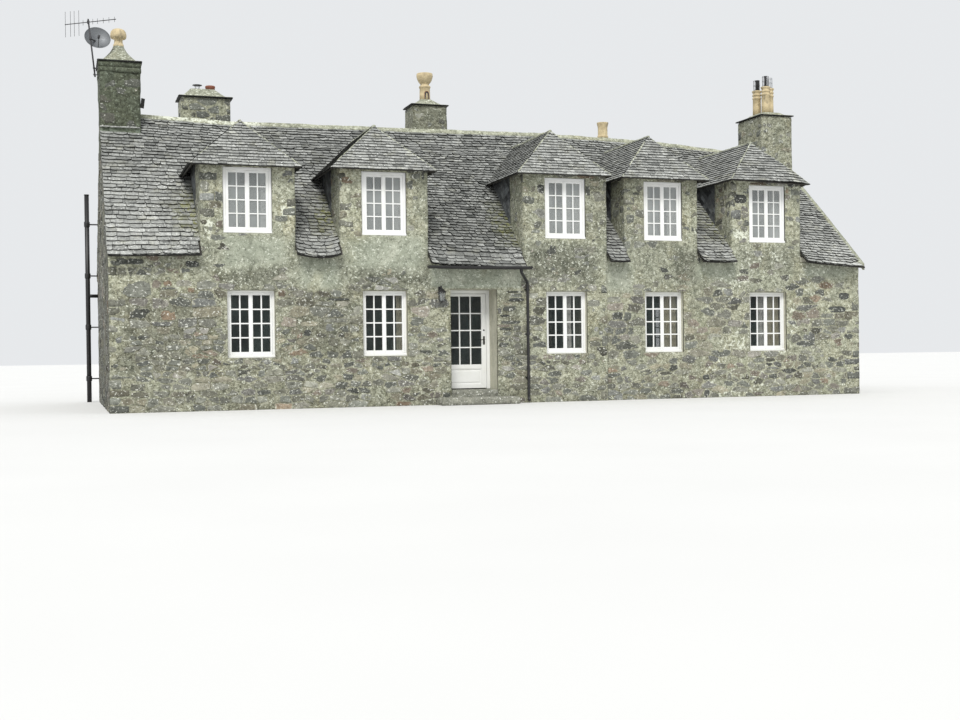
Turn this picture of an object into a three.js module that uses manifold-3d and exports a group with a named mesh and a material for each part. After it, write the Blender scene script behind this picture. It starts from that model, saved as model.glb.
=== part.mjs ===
// Long two-storey rubble-stone farm cottage with a slate roof, five hipped dormers
// that grow out of the front wall, and four chimney stacks.
// Millimetres, +Z up. The front wall faces -Y; X runs along it from left to right.
// Origin: middle of the footprint, on the ground.
import * as THREE from 'three';
import { ConvexGeometry } from 'three/addons/geometries/ConvexGeometry.js';
import { mergeVertices } from 'three/addons/utils/BufferGeometryUtils.js';
import Module from 'manifold-3d';

const wasm = await Module();
wasm.setup();

// ---- driving dimensions, all from the left front corner on the ground ----
const LENGTH = 16370;          // outside length of the front wall
const DEPTH = 6800;            // outside depth
const WALL = 750;              // rubble wall thickness
const GABLE = 700;             // gable wall thickness
const FLOOR = 300;             // ground floor above the ground
const UPPER = 2750;            // upper floor surface
const DECK = 180;              // upper floor thickness
const RIDGE_Y = DEPTH / 2;
const EAVE_OUT = 250;          // main eaves overhang
const VERGE = 20;              // slates past the gables
const RIDGE_HALF = 115, RIDGE_THICK = 42;       // mortared ridge, each side and thickness
const ROOF_T = 130;            // roof build-up, measured upright
const JOINT_X = 10090;         // straight joint between the two builds
const SET_BACK = 60;           // the right-hand build stands back
const GAP = 0.3;

// doorway
const DOOR_X0 = 6630, DOOR_X1 = 7626, DOOR_HEAD = 2340, DOOR_Y = 490;
const SILL_LOW = 1000, HEAD_LOW = 2300, SILL_UP = 3396, HEAD_UP = 4662;

// ridge and eaves lines, as they sag: [x, z]
const RIDGE = [[-20, 6200], [2700, 6112], [6800, 6142], [10000, 6172], [12800, 6102], [14800, 5959], [16390, 5930]];
const EAVE = [[-20, 2920], [2700, 2970], [6100, 2850], [8300, 2790], [10100, 2910], [14800, 2960], [16390, 2850]];
const REAR_EAVE_Z = 2930;

// dormers: stone front x0..x1, roof eaves e0..e1, eaves edge height, peak height
const DORMERS = [
  { x0: 1690, x1: 3490, e0: 1490, e1: 3580, ze: 4675, zp: 5650 },
  { x0: 4380, x1: 6170, e0: 4180, e1: 6300, ze: 4690, zp: 5660 },
  { x0: 8220, x1: JOINT_X - GAP, e0: 8050, e1: 10130, ze: 4715, zp: 5730 },
  { x0: 10560, x1: 12270, e0: 10390, e1: 12410, ze: 4700, zp: 5710 },
  { x0: 13110, x1: 14850, e0: 12990, e1: 14920, ze: 4735, zp: 5680 },
];
const DORMER_OUT = 200;        // dormer eaves in front of the wall
const DORMER_PEAK_Y = 620;
const DORMER_HOLE = 1600;      // how far back the main roof is open under a dormer
const CHEEK_T = 110;
// rear dormers, in the rear's own turned frame (see turned())
const REAR_DORMERS = [
  { x0: 4670, x1: 6430, e0: 4520, e1: 6580, ze: 4690, zp: 5660 },
  { x0: 10170, x1: 11930, e0: 10020, e1: 12080, ze: 4690, zp: 5660 },
];
const WINDOWS = {
  window_upper_1: [2113, 3048, SILL_UP, HEAD_UP], window_upper_2: [4819, 5730, SILL_UP, HEAD_UP],
  window_upper_3: [8706, 9616, SILL_UP, HEAD_UP], window_upper_4: [11001, 11909, SILL_UP, HEAD_UP],
  window_upper_5: [13563, 14470, SILL_UP, HEAD_UP],
  window_lower_1: [2170, 3086, SILL_LOW, HEAD_LOW], window_lower_2: [4819, 5728, SILL_LOW, HEAD_LOW],
  window_lower_3: [8713, 9633, SILL_LOW, HEAD_LOW], window_lower_4: [11005, 11921, SILL_LOW, HEAD_LOW],
  window_lower_5: [13554, 14480, SILL_LOW, HEAD_LOW],
};
const REAR_WINDOWS = {
  rear_window_upper_1: [5095, 6005, SILL_UP, HEAD_UP], rear_window_upper_2: [10595, 11505, SILL_UP, HEAD_UP],
  rear_window_lower_1: [1200, 2110, SILL_LOW, HEAD_LOW], rear_window_lower_2: [5095, 6005, SILL_LOW, HEAD_LOW],
  rear_window_lower_3: [10595, 11505, SILL_LOW, HEAD_LOW],
};
const WINDOW_IN_UP = 25, WINDOW_IN_LOW = 100;   // frames behind the wall face, by storey
const FRAME_D = 80, FRAME_W = 55, MULLION = 60;

// stacks: x0, x1, y0, y1, base, top of body, slab overhang, slab thickness
const LEFT_STACK = [-10, 795, 2900, 3900, 5300, 7170, 50, 50];
const LEFT_BAND = [30, 190];   // projecting band under the left stack's slab: overhang, height
const RIGHT_STACK = [15530, 16370, 2720, 3830, 5300, 6755, 45, 55];
const REAR_STACK_LEFT = [1920, 3060, 6055, 6790, 2700, 7155, 65, 55];
const REAR_STACK_MIDDLE = [7590, 8470, 6055, 6790, 2700, 7250, 50, 55];
const REAR_STACK_RIGHT = [12650, 13210, 6130, 6790, 2700, 6610, 45, 50];

// ---- helpers ----
const ox = LENGTH / 2, oy = DEPTH / 2;

const toManifold = (geometry) => {
  const g = geometry.index ? geometry.toNonIndexed() : geometry.clone();
  const bare = new THREE.BufferGeometry();
  bare.setAttribute('position', g.getAttribute('position'));
  const m = mergeVertices(bare, 1e-3);
  const tri = [];
  const ix = m.index.array;
  for (let i = 0; i < ix.length; i += 3) {
    if (ix[i] !== ix[i + 1] && ix[i + 1] !== ix[i + 2] && ix[i] !== ix[i + 2]) tri.push(ix[i], ix[i + 1], ix[i + 2]);
  }
  const mesh = new wasm.Mesh({ numProp: 3, vertProperties: new Float32Array(m.getAttribute('position').array), triVerts: new Uint32Array(tri) });
  return new wasm.Manifold(mesh);
};
const toGeometry = (solid) => {
  const m = solid.getMesh();
  const g = new THREE.BufferGeometry();
  const p = new Float32Array(m.numVert * 3);
  for (let i = 0; i < m.numVert; i++) for (let k = 0; k < 3; k++) p[3 * i + k] = m.vertProperties[i * m.numProp + k];
  g.setAttribute('position', new THREE.BufferAttribute(p, 3));
  g.setIndex(new THREE.BufferAttribute(new Uint32Array(m.triVerts), 1));
  return g;
};
const boxG = (x0, x1, y0, y1, z0, z1) => new THREE.BoxGeometry(x1 - x0, y1 - y0, z1 - z0).translate((x0 + x1) / 2, (y0 + y1) / 2, (z0 + z1) / 2);
const box = (...a) => toManifold(boxG(...a));
const hull = (pts) => toManifold(new ConvexGeometry(pts.map((p) => new THREE.Vector3(...p))));
const cyl = (x, y, z0, z1, r0, r1, n = 20) => toManifold(new THREE.CylinderGeometry(r1, r0, z1 - z0, n).rotateX(Math.PI / 2).translate(x, y, (z0 + z1) / 2));
const tube = (pts, r, n = 12) => {
  const path = new THREE.CurvePath();
  for (let i = 0; i + 1 < pts.length; i++) path.add(new THREE.LineCurve3(new THREE.Vector3(...pts[i]), new THREE.Vector3(...pts[i + 1])));
  let out = null;
  for (let i = 0; i + 1 < pts.length; i++) {
    const a = new THREE.Vector3(...pts[i]), b = new THREE.Vector3(...pts[i + 1]);
    const g = new THREE.CylinderGeometry(r, r, a.distanceTo(b), n);
    g.applyQuaternion(new THREE.Quaternion().setFromUnitVectors(new THREE.Vector3(0, 1, 0), b.clone().sub(a).normalize()));
    g.translate((a.x + b.x) / 2, (a.y + b.y) / 2, (a.z + b.z) / 2);
    let s = toManifold(g);
    if (i > 0) s = s.add(toManifold(new THREE.SphereGeometry(r * 1.02, n, 8).translate(a.x, a.y, a.z)));
    out = out ? out.add(s) : s;
  }
  return out;
};
const lathe = (profile, x, y, n = 24) => toManifold(new THREE.LatheGeometry(profile.map(([r, z]) => new THREE.Vector2(r, z)), n).rotateX(Math.PI / 2).translate(x, y, 0));

const group = new THREE.Group();
group.name = 'slate_roofed_stone_cottage';
const put = (name, solid, colour, rough = 0.9, extra = {}) => {
  const g = toGeometry(solid);
  g.translate(-ox, -oy, 0);
  g.computeVertexNormals();
  const m = new THREE.Mesh(g, new THREE.MeshStandardMaterial({ color: colour, roughness: rough, ...extra }));
  m.name = name;
  group.add(m);
};
// the rear is laid out like the front and then turned half round
const turned = (solid) => {
  const g = toGeometry(solid);
  g.rotateZ(Math.PI).translate(LENGTH, DEPTH, 0);
  return toManifold(g);
};
const at = (table, x) => {
  if (x <= table[0][0]) return table[0][1];
  for (let i = 1; i < table.length; i++) {
    const [x0, z0] = table[i - 1], [x1, z1] = table[i];
    if (x <= x1) return z0 + ((z1 - z0) * (x - x0)) / (x1 - x0);
  }
  return table[table.length - 1][1];
};

// a roof slope: a plank that follows the eaves and ridge lines, from y0 to y1,
// lower face at `low(x, y)`, upper face at `high(x, y)`
const sheet = (xs, y0, y1, low, high) => {
  const g = new THREE.BoxGeometry(1, 1, 1, xs.length - 1, 1, 1);
  const p = g.getAttribute('position');
  for (let i = 0; i < p.count; i++) {
    const k = Math.round((p.getX(i) + 0.5) * (xs.length - 1));
    const x = xs[k], y = p.getY(i) < 0 ? y0 : y1;
    p.setXYZ(i, x, y, p.getZ(i) < 0 ? low(x, y) : high(x, y));
  }
  return toManifold(g);
};
const slope = (eave, ridge, x, y) => {
  const e = eave(x), r = ridge(x);
  return e + ((r - e) * (y + EAVE_OUT)) / (RIDGE_Y + EAVE_OUT);
};
const frontEave = (x) => at(EAVE, x), frontRidge = (x) => at(RIDGE, x);
const rearEave = () => REAR_EAVE_Z, rearRidge = (x) => at(RIDGE, LENGTH - x);
const frontZ = (x, y) => slope(frontEave, frontRidge, x, y);
const rearZ = (x, y) => slope(rearEave, rearRidge, x, y);
const knots = [...new Set([...RIDGE, ...EAVE].map(([x]) => x))].sort((a, b) => a - b);
const rearKnots = [...new Set(RIDGE.map(([x]) => LENGTH - x))].sort((a, b) => a - b);

// regions used to trim what meets a slope; all share one triangulation, so
// that shifted copies stay parallel
const wide = (ks) => [ks[0] - 600, ...ks, ks[ks.length - 1] + 600];
const frontBelow = (lift) => sheet(wide(knots), -900, RIDGE_Y + 0.2, () => -500, (x, y) => frontZ(x, y) + lift);
const rearBelow = (lift) => sheet(wide(rearKnots), -900, RIDGE_Y + 0.2, () => -500, (x, y) => rearZ(x, y) + lift);
const slab = (below) => below(0).subtract(below(-ROOF_T)).intersect(box(-VERGE, LENGTH + VERGE, -EAVE_OUT, RIDGE_Y - 0.2, 0, 8000));
const frontSlab = slab(frontBelow);
const rearSlab = slab(rearBelow);

// ---- dormers ----
const dormerHull = (d, drop, out) => hull([
  [d.e0 - out, -DORMER_OUT - out, d.ze - drop], [d.e1 + out, -DORMER_OUT - out, d.ze - drop],
  [d.e0 - out, 3300, d.ze - drop], [d.e1 + out, 3300, d.ze - drop],
  [(d.e0 + d.e1) / 2, DORMER_PEAK_Y, d.zp - drop], [(d.e0 + d.e1) / 2, 3300, d.zp - drop],
  [d.e0 - out, -DORMER_OUT - out, drop ? 2500 : d.ze - 60], [d.e1 + out, -DORMER_OUT - out, drop ? 2500 : d.ze - 60],
  [d.e0 - out, 3300, drop ? 2500 : d.ze - 60], [d.e1 + out, 3300, drop ? 2500 : d.ze - 60],
]);
const dormerHole = (d, grow = GAP) => box(d.x0 - grow, d.x1 + grow, -600, DORMER_HOLE, 1000, 7000);
const dormerBody = (d, below) => {
  const shell = dormerHull(d, 0, 0).subtract(dormerHull(d, 120, 0));
  const cheek = (x0, x1) => box(x0, x1, WALL + GAP, 3200, 2600, 6500).intersect(dormerHull(d, 60, 0));
  return shell.add(cheek(d.x0, d.x0 + CHEEK_T)).add(cheek(d.x1 - CHEEK_T, d.x1))
    .subtract(below(GAP).subtract(dormerHole(d)))
    .subtract(below(-ROOF_T));
};
// the stone front of a dormer, up to the underside of its roof
const dormerFront = (d, y0) => box(d.x0, d.x1, y0, WALL, 2600, 6500).intersect(dormerHull(d, 120 + GAP, 0));

// ---- walls ----
const STONE = 0x8a867a, SLATE = 0x555a5e, WHITE = 0xe8e6df;
const hole = (w, y0 = -200, y1 = WALL + 200) => box(w[0], w[1], y0, y1, w[2], w[3]);
const frontUnder = frontBelow(-ROOF_T - GAP);
const wallRun = (x0, x1, y0, z0 = 0) => box(x0, x1, y0, WALL, z0, 3300).intersect(frontUnder);
const cut = (solid, names) => names.reduce((s, n) => s.subtract(hole(WINDOWS[n])), solid);

put('front_wall_left', cut(wallRun(0, DOOR_X0, 0).add(dormerFront(DORMERS[0], 0)).add(dormerFront(DORMERS[1], 0)),
  ['window_upper_1', 'window_upper_2', 'window_lower_1', 'window_lower_2']), STONE);
put('door_head_wall', wallRun(DOOR_X0 + GAP, DOOR_X1 - GAP, 0, DOOR_HEAD), STONE);
put('front_wall_middle', cut(wallRun(DOOR_X1, JOINT_X - GAP, 0).add(dormerFront(DORMERS[2], 0)),
  ['window_upper_3', 'window_lower_3']), STONE);
put('front_wall_right', cut(wallRun(JOINT_X, LENGTH, SET_BACK).add(dormerFront(DORMERS[3], SET_BACK)).add(dormerFront(DORMERS[4], SET_BACK)),
  ['window_upper_4', 'window_upper_5', 'window_lower_4', 'window_lower_5']), STONE);

const rearDormers = REAR_DORMERS;
let rearWall = box(0, LENGTH, 0, WALL, 0, 3300).intersect(rearBelow(-ROOF_T - GAP));
for (const d of rearDormers) rearWall = rearWall.add(dormerFront(d, 0));
for (const w of Object.values(REAR_WINDOWS)) rearWall = rearWall.subtract(hole(w));
rearWall = turned(rearWall);

// gable walls, up to the underside of both slopes
const underBoth = (() => {
  const f = frontBelow(-ROOF_T - GAP);
  const r = turned(rearBelow(-ROOF_T - GAP));
  return [f, r];
})();
const gable = (x0, x1) => {
  const tall = box(x0, x1, WALL + GAP, DEPTH - WALL - GAP, 0, 6600);
  const front = tall.intersect(box(x0 - 1, x1 + 1, 0, RIDGE_Y, -1, 7000)).intersect(underBoth[0]);
  const rear = tall.intersect(box(x0 - 1, x1 + 1, RIDGE_Y, DEPTH, -1, 7000)).intersect(underBoth[1]);
  return front.add(rear);
};
const stackBody = (s) => box(s[0], s[1], s[2], s[3], s[4], s[5]).add(box(s[0] - s[6], s[1] + s[6], s[2] - s[6], s[3] + s[6], s[5] - 0.01, s[5] + s[7]));
const stackHole = (s, grow = GAP * 2) => box(s[0] - grow, s[1] + grow, s[2] - grow, s[3] + grow, s[4] - grow, s[5] + 800);
put('left_gable_wall', gable(0, GABLE).subtract(stackHole(LEFT_STACK, GAP)), STONE);
put('right_gable_wall', gable(LENGTH - GABLE, LENGTH).subtract(stackHole(RIGHT_STACK, GAP)), STONE);
for (const s of [REAR_STACK_LEFT, REAR_STACK_MIDDLE, REAR_STACK_RIGHT]) rearWall = rearWall.subtract(stackHole(s, GAP));
put('rear_wall', rearWall, STONE);

// ---- floors ----
put('ground_floor', box(GABLE + GAP, LENGTH - GABLE - GAP, WALL + GAP, DEPTH - WALL - GAP, 0, FLOOR), 0x6f6a60);
put('upper_floor', box(GABLE + GAP, LENGTH - GABLE - GAP, WALL + GAP, DEPTH - WALL - GAP, UPPER - DECK, UPPER), 0x8a6a48);

// ---- roof ----
let front = frontSlab;
for (const d of DORMERS) front = front.subtract(dormerHole(d));
let rear = rearSlab;
for (const d of rearDormers) rear = rear.subtract(dormerHole(d));
rear = turned(rear);
for (const s of [LEFT_STACK, RIGHT_STACK]) { front = front.subtract(stackHole(s)); rear = rear.subtract(stackHole(s)); }
for (const s of [REAR_STACK_LEFT, REAR_STACK_MIDDLE, REAR_STACK_RIGHT]) rear = rear.subtract(stackHole(s));
put('main_roof_front', front, SLATE);
put('main_roof_rear', rear, SLATE);

// mortared ridge: a chevron strip that follows the sagging line
const ridgeStrip = (() => {
  const xs = [830, 2700, 6800, 10000, 12800, 14800, 15480];
  const g = new THREE.BoxGeometry(1, 1, 1, xs.length - 1, 2, 1);
  const p = g.getAttribute('position');
  for (let i = 0; i < p.count; i++) {
    const x = xs[Math.round((p.getX(i) + 0.5) * (xs.length - 1))];
    const side = Math.round(p.getY(i) * 2);
    const y = RIDGE_Y + side * RIDGE_HALF;
    const base = Math.max(frontZ(x, RIDGE_Y) + 4, rearZ(LENGTH - x, RIDGE_Y) + 4);
    const fall = ((frontRidge(x) - Math.min(frontEave(x), REAR_EAVE_Z)) / (RIDGE_Y + EAVE_OUT)) * RIDGE_HALF;
    const z = side === 0 ? base + (p.getZ(i) < 0 ? 0 : RIDGE_THICK) : base - fall + (p.getZ(i) < 0 ? 8 : RIDGE_THICK);
    p.setXYZ(i, x, y, z);
  }
  return toManifold(g).subtract(frontBelow(GAP)).subtract(turned(rearBelow(GAP)));
})();
put('roof_ridge', ridgeStrip, 0xb9b3a2);

DORMERS.forEach((d, i) => put(`dormer_${i + 1}`, dormerBody(d, frontBelow), SLATE));
rearDormers.forEach((d, i) => put(`rear_dormer_${i + 1}`, turned(dormerBody(d, rearBelow)), SLATE));

// ---- windows: frame, mullion and a thin pane behind the glazing bars ----
const windowBody = ([x0, x1, z0, z1], y0) => {
  const X0 = x0 + GAP, X1 = x1 - GAP, Z0 = z0 + GAP, Z1 = z1 - GAP, xc = (X0 + X1) / 2;
  let frame = box(X0, X1, y0, y0 + FRAME_D, Z0, Z1);
  for (const [a, b] of [[X0 + FRAME_W, xc - MULLION / 2], [xc + MULLION / 2, X1 - FRAME_W]]) {
    frame = frame.subtract(box(a, b, y0 - 10, y0 + FRAME_D + 10, Z0 + FRAME_W, Z1 - FRAME_W));
  }
  return frame.add(box(X0 + 5, X1 - 5, y0 + 45, y0 + 51, Z0 + 5, Z1 - 5));
};
const recess = (w) => (w[2] === SILL_UP ? WINDOW_IN_UP : WINDOW_IN_LOW);
for (const [name, w] of Object.entries(WINDOWS)) {
  const y0 = recess(w) + (w[0] > JOINT_X ? SET_BACK : 0);
  put(name, windowBody(w, y0), WHITE, 0.5);
}
for (const [name, w] of Object.entries(REAR_WINDOWS)) put(name, turned(windowBody(w, recess(w))), WHITE, 0.5);

// ---- doorway ----
const JL = 30, JR = 70;                         // frame jambs: hinge side, latch side
put('door_frame', box(DOOR_X0 + GAP, DOOR_X1 - GAP, DOOR_Y - 10, DOOR_Y + 80, FLOOR - 10 + GAP, DOOR_HEAD - GAP)
  .subtract(box(DOOR_X0 + JL, DOOR_X1 - JR, DOOR_Y - 100, DOOR_Y + 200, 0, DOOR_HEAD - 70)), WHITE, 0.5);
// leaf: stiles, rails, bottom panel, three by four panes
const LX0 = DOOR_X0 + JL + 7, LX1 = DOOR_X1 - JR - 7, LZ0 = FLOOR + 8, LZ1 = DOOR_HEAD - 77, LT = 45;
const GX0 = LX0 + 70, GX1 = LX1 - 103, GZ0 = 800, GZ1 = LZ1 - 52;   // glazing
let leaf = box(LX0, LX1, DOOR_Y, DOOR_Y + LT, LZ0, LZ1);
leaf = leaf.subtract(box(GX0, GX1, DOOR_Y - 5, DOOR_Y + 19, GZ0, GZ1)).subtract(box(GX0, GX1, DOOR_Y + 25, DOOR_Y + LT + 5, GZ0, GZ1));
const paneW = (GX1 - GX0) / 3, paneH = (GZ1 - GZ0) / 4;
for (let i = 1; i < 3; i++) leaf = leaf.add(box(GX0 + i * paneW - 12, GX0 + i * paneW + 12, DOOR_Y + 6, DOOR_Y + LT - 6, GZ0 - 10, GZ1 + 10));
for (let i = 1; i < 4; i++) leaf = leaf.add(box(GX0 - 10, GX1 + 10, DOOR_Y + 7, DOOR_Y + LT - 7, GZ0 + i * paneH - 12, GZ0 + i * paneH + 12));
leaf = leaf.subtract(box(GX0 + 15, GX1 - 15, DOOR_Y - 5, DOOR_Y + 10, 400, 700));
// lever handles both sides, on the latch stile
const hx = LX1 - 50, hz = 1310;
leaf = leaf.add(tube([[hx, DOOR_Y - 50, hz], [hx, DOOR_Y + LT + 50, hz]], 9))
  .add(tube([[hx, DOOR_Y - 48, hz], [hx - 110, DOOR_Y - 48, hz]], 8)).add(tube([[hx, DOOR_Y + LT + 48, hz], [hx - 110, DOOR_Y + LT + 48, hz]], 8));
put('front_door', leaf, WHITE, 0.5);
put('doorstep', box(6310, 7950, -460, -GAP, 0, 150).add(box(DOOR_X0 + GAP, DOOR_X1 - GAP, -GAP - 1, WALL, 0, FLOOR - 10)), 0x7d7a72);

// ---- stacks and pots ----
const band = box(LEFT_STACK[0] - LEFT_BAND[0], LEFT_STACK[1] + LEFT_BAND[0], LEFT_STACK[2] - LEFT_BAND[0], LEFT_STACK[3] + LEFT_BAND[0], LEFT_STACK[5] - LEFT_BAND[1], LEFT_STACK[5] + 10);
put('left_stack', stackBody(LEFT_STACK).add(band), STONE);
put('right_stack', stackBody(RIGHT_STACK), STONE);
put('rear_stack_left', stackBody(REAR_STACK_LEFT), STONE);
put('rear_stack_middle', stackBody(REAR_STACK_MIDDLE), STONE);
put('rear_stack_right', stackBody(REAR_STACK_RIGHT), STONE);
// mortar flaunching: from the slab up to a small top, cx0..cx1 by cy0..cy1
const flaunch = (s, h, cx0, cx1, cy0, cy1) => {
  const z = s[5] + s[7] + GAP, i = 20;
  return hull([[s[0] - i, s[2] - i, z], [s[1] + i, s[2] - i, z], [s[0] - i, s[3] + i, z], [s[1] + i, s[3] + i, z],
    [cx0, cy0, z + h], [cx1, cy0, z + h], [cx0, cy1, z + h], [cx1, cy1, z + h]]);
};
const BUFF = 0xc9b184;
{
  const z = LEFT_STACK[5] + LEFT_STACK[7];
  put('left_stack_pot', flaunch(LEFT_STACK, 400, 290, 510, 3290, 3510)
    .add(lathe([[0, z + 380], [119, z + 380], [119, z + 480], [90, z + 490], [88, z + 590], [150, z + 585], [168, z + 640], [165, z + 700], [130, z + 770], [60, z + 797], [0, z + 800]], 395, 3400)), BUFF);
}
{
  const z = RIGHT_STACK[5] + RIGHT_STACK[7];
  let s = flaunch(RIGHT_STACK, 110, 15690, 16130, 2880, 3560);
  for (const [x, y, h] of [[15835, 3430, 720], [15830, 3010, 740], [16040, 3180, 740]]) {
    s = s.add(cyl(x, y, z + 50, z + h, 104, 98)).add(cyl(x, y, z + h - 190, z + h - 165, 110, 110)).add(cyl(x, y, z + h - 110, z + h - 85, 110, 110)).add(cyl(x, y, z + h - 5, z + h + 280, 78, 78, 16));
  }
  put('right_stack_pots', s, BUFF);
}
{
  const z = REAR_STACK_LEFT[5] + REAR_STACK_LEFT[7];
  put('rear_stack_left_pots', flaunch(REAR_STACK_LEFT, 225, 2170, 2740, 6300, 6540).add(cyl(2640, 6420, z + 180, z + 325, 112, 108)).add(cyl(2335, 6420, z + 180, z + 320, 55, 55)).add(cyl(2335, 6420, z + 315, z + 350, 112, 100)), 0x8c4a38);
}
{
  const z = REAR_STACK_MIDDLE[5] + REAR_STACK_MIDDLE[7];
  put('rear_stack_middle_pot', flaunch(REAR_STACK_MIDDLE, 165, 7860, 8160, 6270, 6550).add(cyl(8010, 6410, z + 140, z + 590, 134, 128)).add(lathe([[0, z + 560], [105, z + 560], [150, z + 610], [190, z + 680], [208, z + 760], [200, z + 835], [0, z + 840]], 8010, 6410)), BUFF);
}
{
  const z = REAR_STACK_RIGHT[5] + REAR_STACK_RIGHT[7];
  put('rear_stack_right_pot', flaunch(REAR_STACK_RIGHT, 60, 12810, 13100, 6310, 6600).add(lathe([[0, z + 30], [135, z + 30], [145, z + 90], [145, z + 125], [130, z + 140], [128, z + 330], [140, z + 400], [155, z + 480], [0, z + 480]], 12955, 6450)), BUFF);
}

// ---- iron goods ----
const PIPE_X = 8278, OUTLET_X = 8050, PIPE_R = 31;
{
  // half-round gutter on the eaves between dormers 2 and 3
  const gx0 = 6075, gx1 = 8280, gy = -315, gz = 2785;
  const outer = toManifold(new THREE.CylinderGeometry(58, 58, gx1 - gx0, 20).rotateZ(Math.PI / 2).translate((gx0 + gx1) / 2, gy, gz));
  const inner = toManifold(new THREE.CylinderGeometry(52, 52, gx1 - gx0 - 12, 20).rotateZ(Math.PI / 2).translate((gx0 + gx1) / 2, gy, gz));
  const open = box(gx0 - 10, gx1 + 10, gy - 100, gy + 100, gz, gz + 100);
  put('gutter', outer.subtract(inner).subtract(open), 0x1c1d1e, 0.5);
  // swan neck from the gutter's outlet back to the wall
  put('downpipe', tube([[OUTLET_X, gy, gz - 58 - GAP - PIPE_R], [OUTLET_X, gy, gz - 120], [PIPE_X, -55, gz - 305], [PIPE_X, -55, 60]], PIPE_R)
    .add(cyl(OUTLET_X, gy, gz - 100, gz - 58 - GAP, 36, 36, 12)), 0x1c1d1e, 0.5);
}
{
  // wall lantern: back plate, arm, glazed body, cap
  const lx = 6410;
  put('wall_lantern', box(lx - 45, lx + 45, -18, -GAP, 2230, 2400).add(tube([[lx, -10, 2350], [lx, -130, 2350], [lx, -130, 2300]], 9))
    .add(toManifold(new THREE.CylinderGeometry(85, 55, 190, 6).rotateX(Math.PI / 2).translate(lx, -130, 2175)))
    .add(toManifold(new THREE.CylinderGeometry(15, 100, 70, 6).rotateX(Math.PI / 2).translate(lx, -130, 2300))), 0x16171a, 0.5);
}
{
  // aerial mast on the left face of the left stack, with dish
  const bx = LEFT_STACK[0] - LEFT_BAND[0], my = 2960, boom = (x) => 7900 + (187 * (x + 680)) / 1015;
  let s = tube([[-100, my, 6860], [-222, my, 8050]], 17, 10)
    .add(box(-125, bx - GAP, my - 30, my + 30, 7025, 7055)).add(box(-115, LEFT_STACK[0] - GAP, my - 30, my + 30, 6890, 6920))
    .add(tube([[-680, my, 7900], [335, my, 8087]], 10, 8));
  for (let i = 0; i < 8; i++) { const t = i / 7, x = -330 + 655 * t, z = boom(x); s = s.add(box(x - 4, x + 4, my - 4, my + 4, z - 55, z + 55)); }
  for (const x of [-670, -570, -495, -405]) { const z = boom(x); s = s.add(box(x - 4, x + 4, my - 4, my + 4, z - 262, z + 262)); }
  // a shallow bowl with thickness: lathe of its section, facing out and up
  const prof = [];
  const RR = 420, A = 0.68;
  for (let i = 0; i <= 8; i++) { const a = (A * i) / 8; prof.push([RR * Math.sin(a), RR * (1 - Math.cos(a))]); }
  for (let i = 8; i >= 0; i--) { const a = (A * i) / 8; prof.push([(RR - 8) * Math.sin(a), 8 + (RR - 8) * (1 - Math.cos(a))]); }
  const bowl = new THREE.LatheGeometry(prof.map(([r, z]) => new THREE.Vector2(Math.max(r, 0), z)), 28);
  bowl.applyQuaternion(new THREE.Quaternion().setFromUnitVectors(new THREE.Vector3(0, 1, 0), new THREE.Vector3(0.1, -0.9, 0.41).normalize()));
  bowl.translate(-45, 3175, 7675);
  s = s.add(toManifold(bowl)).add(tube([[-188, my, 7655], [-48, 3168, 7673]], 12, 8)).add(tube([[-40, 3170, 7670], [-30, 2830, 7635]], 8, 8));
  put('aerial_and_dish', s, 0x3a3d40, 0.5);
}
{
  // soil vent pipe at the left gable, with its branch
  put('vent_pipe', tube([[-235, 6450, 0], [-235, 6450, 4850]], 55, 14).add(tube([[-235, 6450, 2480], [-GAP - 1, 6450, 2480]], 40, 12)).add(cyl(-235, 6450, 2390, 2570, 70, 70, 14)), 0x1a1b1d, 0.6);
}

export default group;
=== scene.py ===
import bpy
import math
import numpy as np
from mathutils import Matrix, Vector


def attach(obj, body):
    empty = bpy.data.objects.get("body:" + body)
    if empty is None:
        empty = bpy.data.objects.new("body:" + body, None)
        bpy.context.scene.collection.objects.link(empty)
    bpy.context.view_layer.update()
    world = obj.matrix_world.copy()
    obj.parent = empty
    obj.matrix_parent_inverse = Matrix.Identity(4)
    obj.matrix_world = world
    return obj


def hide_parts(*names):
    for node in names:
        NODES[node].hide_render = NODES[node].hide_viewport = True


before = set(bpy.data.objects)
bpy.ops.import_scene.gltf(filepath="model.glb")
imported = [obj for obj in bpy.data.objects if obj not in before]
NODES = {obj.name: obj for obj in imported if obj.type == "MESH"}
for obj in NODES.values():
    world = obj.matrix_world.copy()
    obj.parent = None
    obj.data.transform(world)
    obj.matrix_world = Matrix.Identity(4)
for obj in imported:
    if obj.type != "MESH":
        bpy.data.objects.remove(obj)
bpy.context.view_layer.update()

# Long stone cottage with a slate roof. Everything is laid out from the left
# front corner of the walls: X along the front, Y inward, Z up, in metres.
OX, OY = 8.185, 3.4
LENGTH, DEPTH = 16.37, 6.8
JOINT_X, SET_BACK = 10.09, 0.06
WALL = 0.75

RX = np.array([-.02, 2.7, 6.8, 10., 12.8, 14.8, 16.39])
RZ = np.array([6.2, 6.112, 6.142, 6.172, 6.102, 5.959, 5.93])
EX = np.array([-.02, 2.7, 6.1, 8.3, 10.1, 14.8, 16.39])
EZ = np.array([2.92, 2.97, 2.85, 2.79, 2.91, 2.96, 2.85])
REAR_EAVE = 2.93

# x0, x1 stone front; e0, e1 roof eaves; ze, zp eaves and peak heights
DORMERS = [
    (1.69, 3.49, 1.49, 3.58, 4.675, 5.65), (4.38, 6.17, 4.18, 6.30, 4.690, 5.66),
    (8.22, 10.0897, 8.05, 10.13, 4.715, 5.73), (10.56, 12.27, 10.39, 12.41, 4.700, 5.71),
    (13.11, 14.85, 12.99, 14.92, 4.735, 5.68)]
REAR_DORMERS = [(4.67, 6.43, 4.52, 6.58, 4.69, 5.66), (10.17, 11.93, 10.02, 12.08, 4.69, 5.66)]
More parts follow.
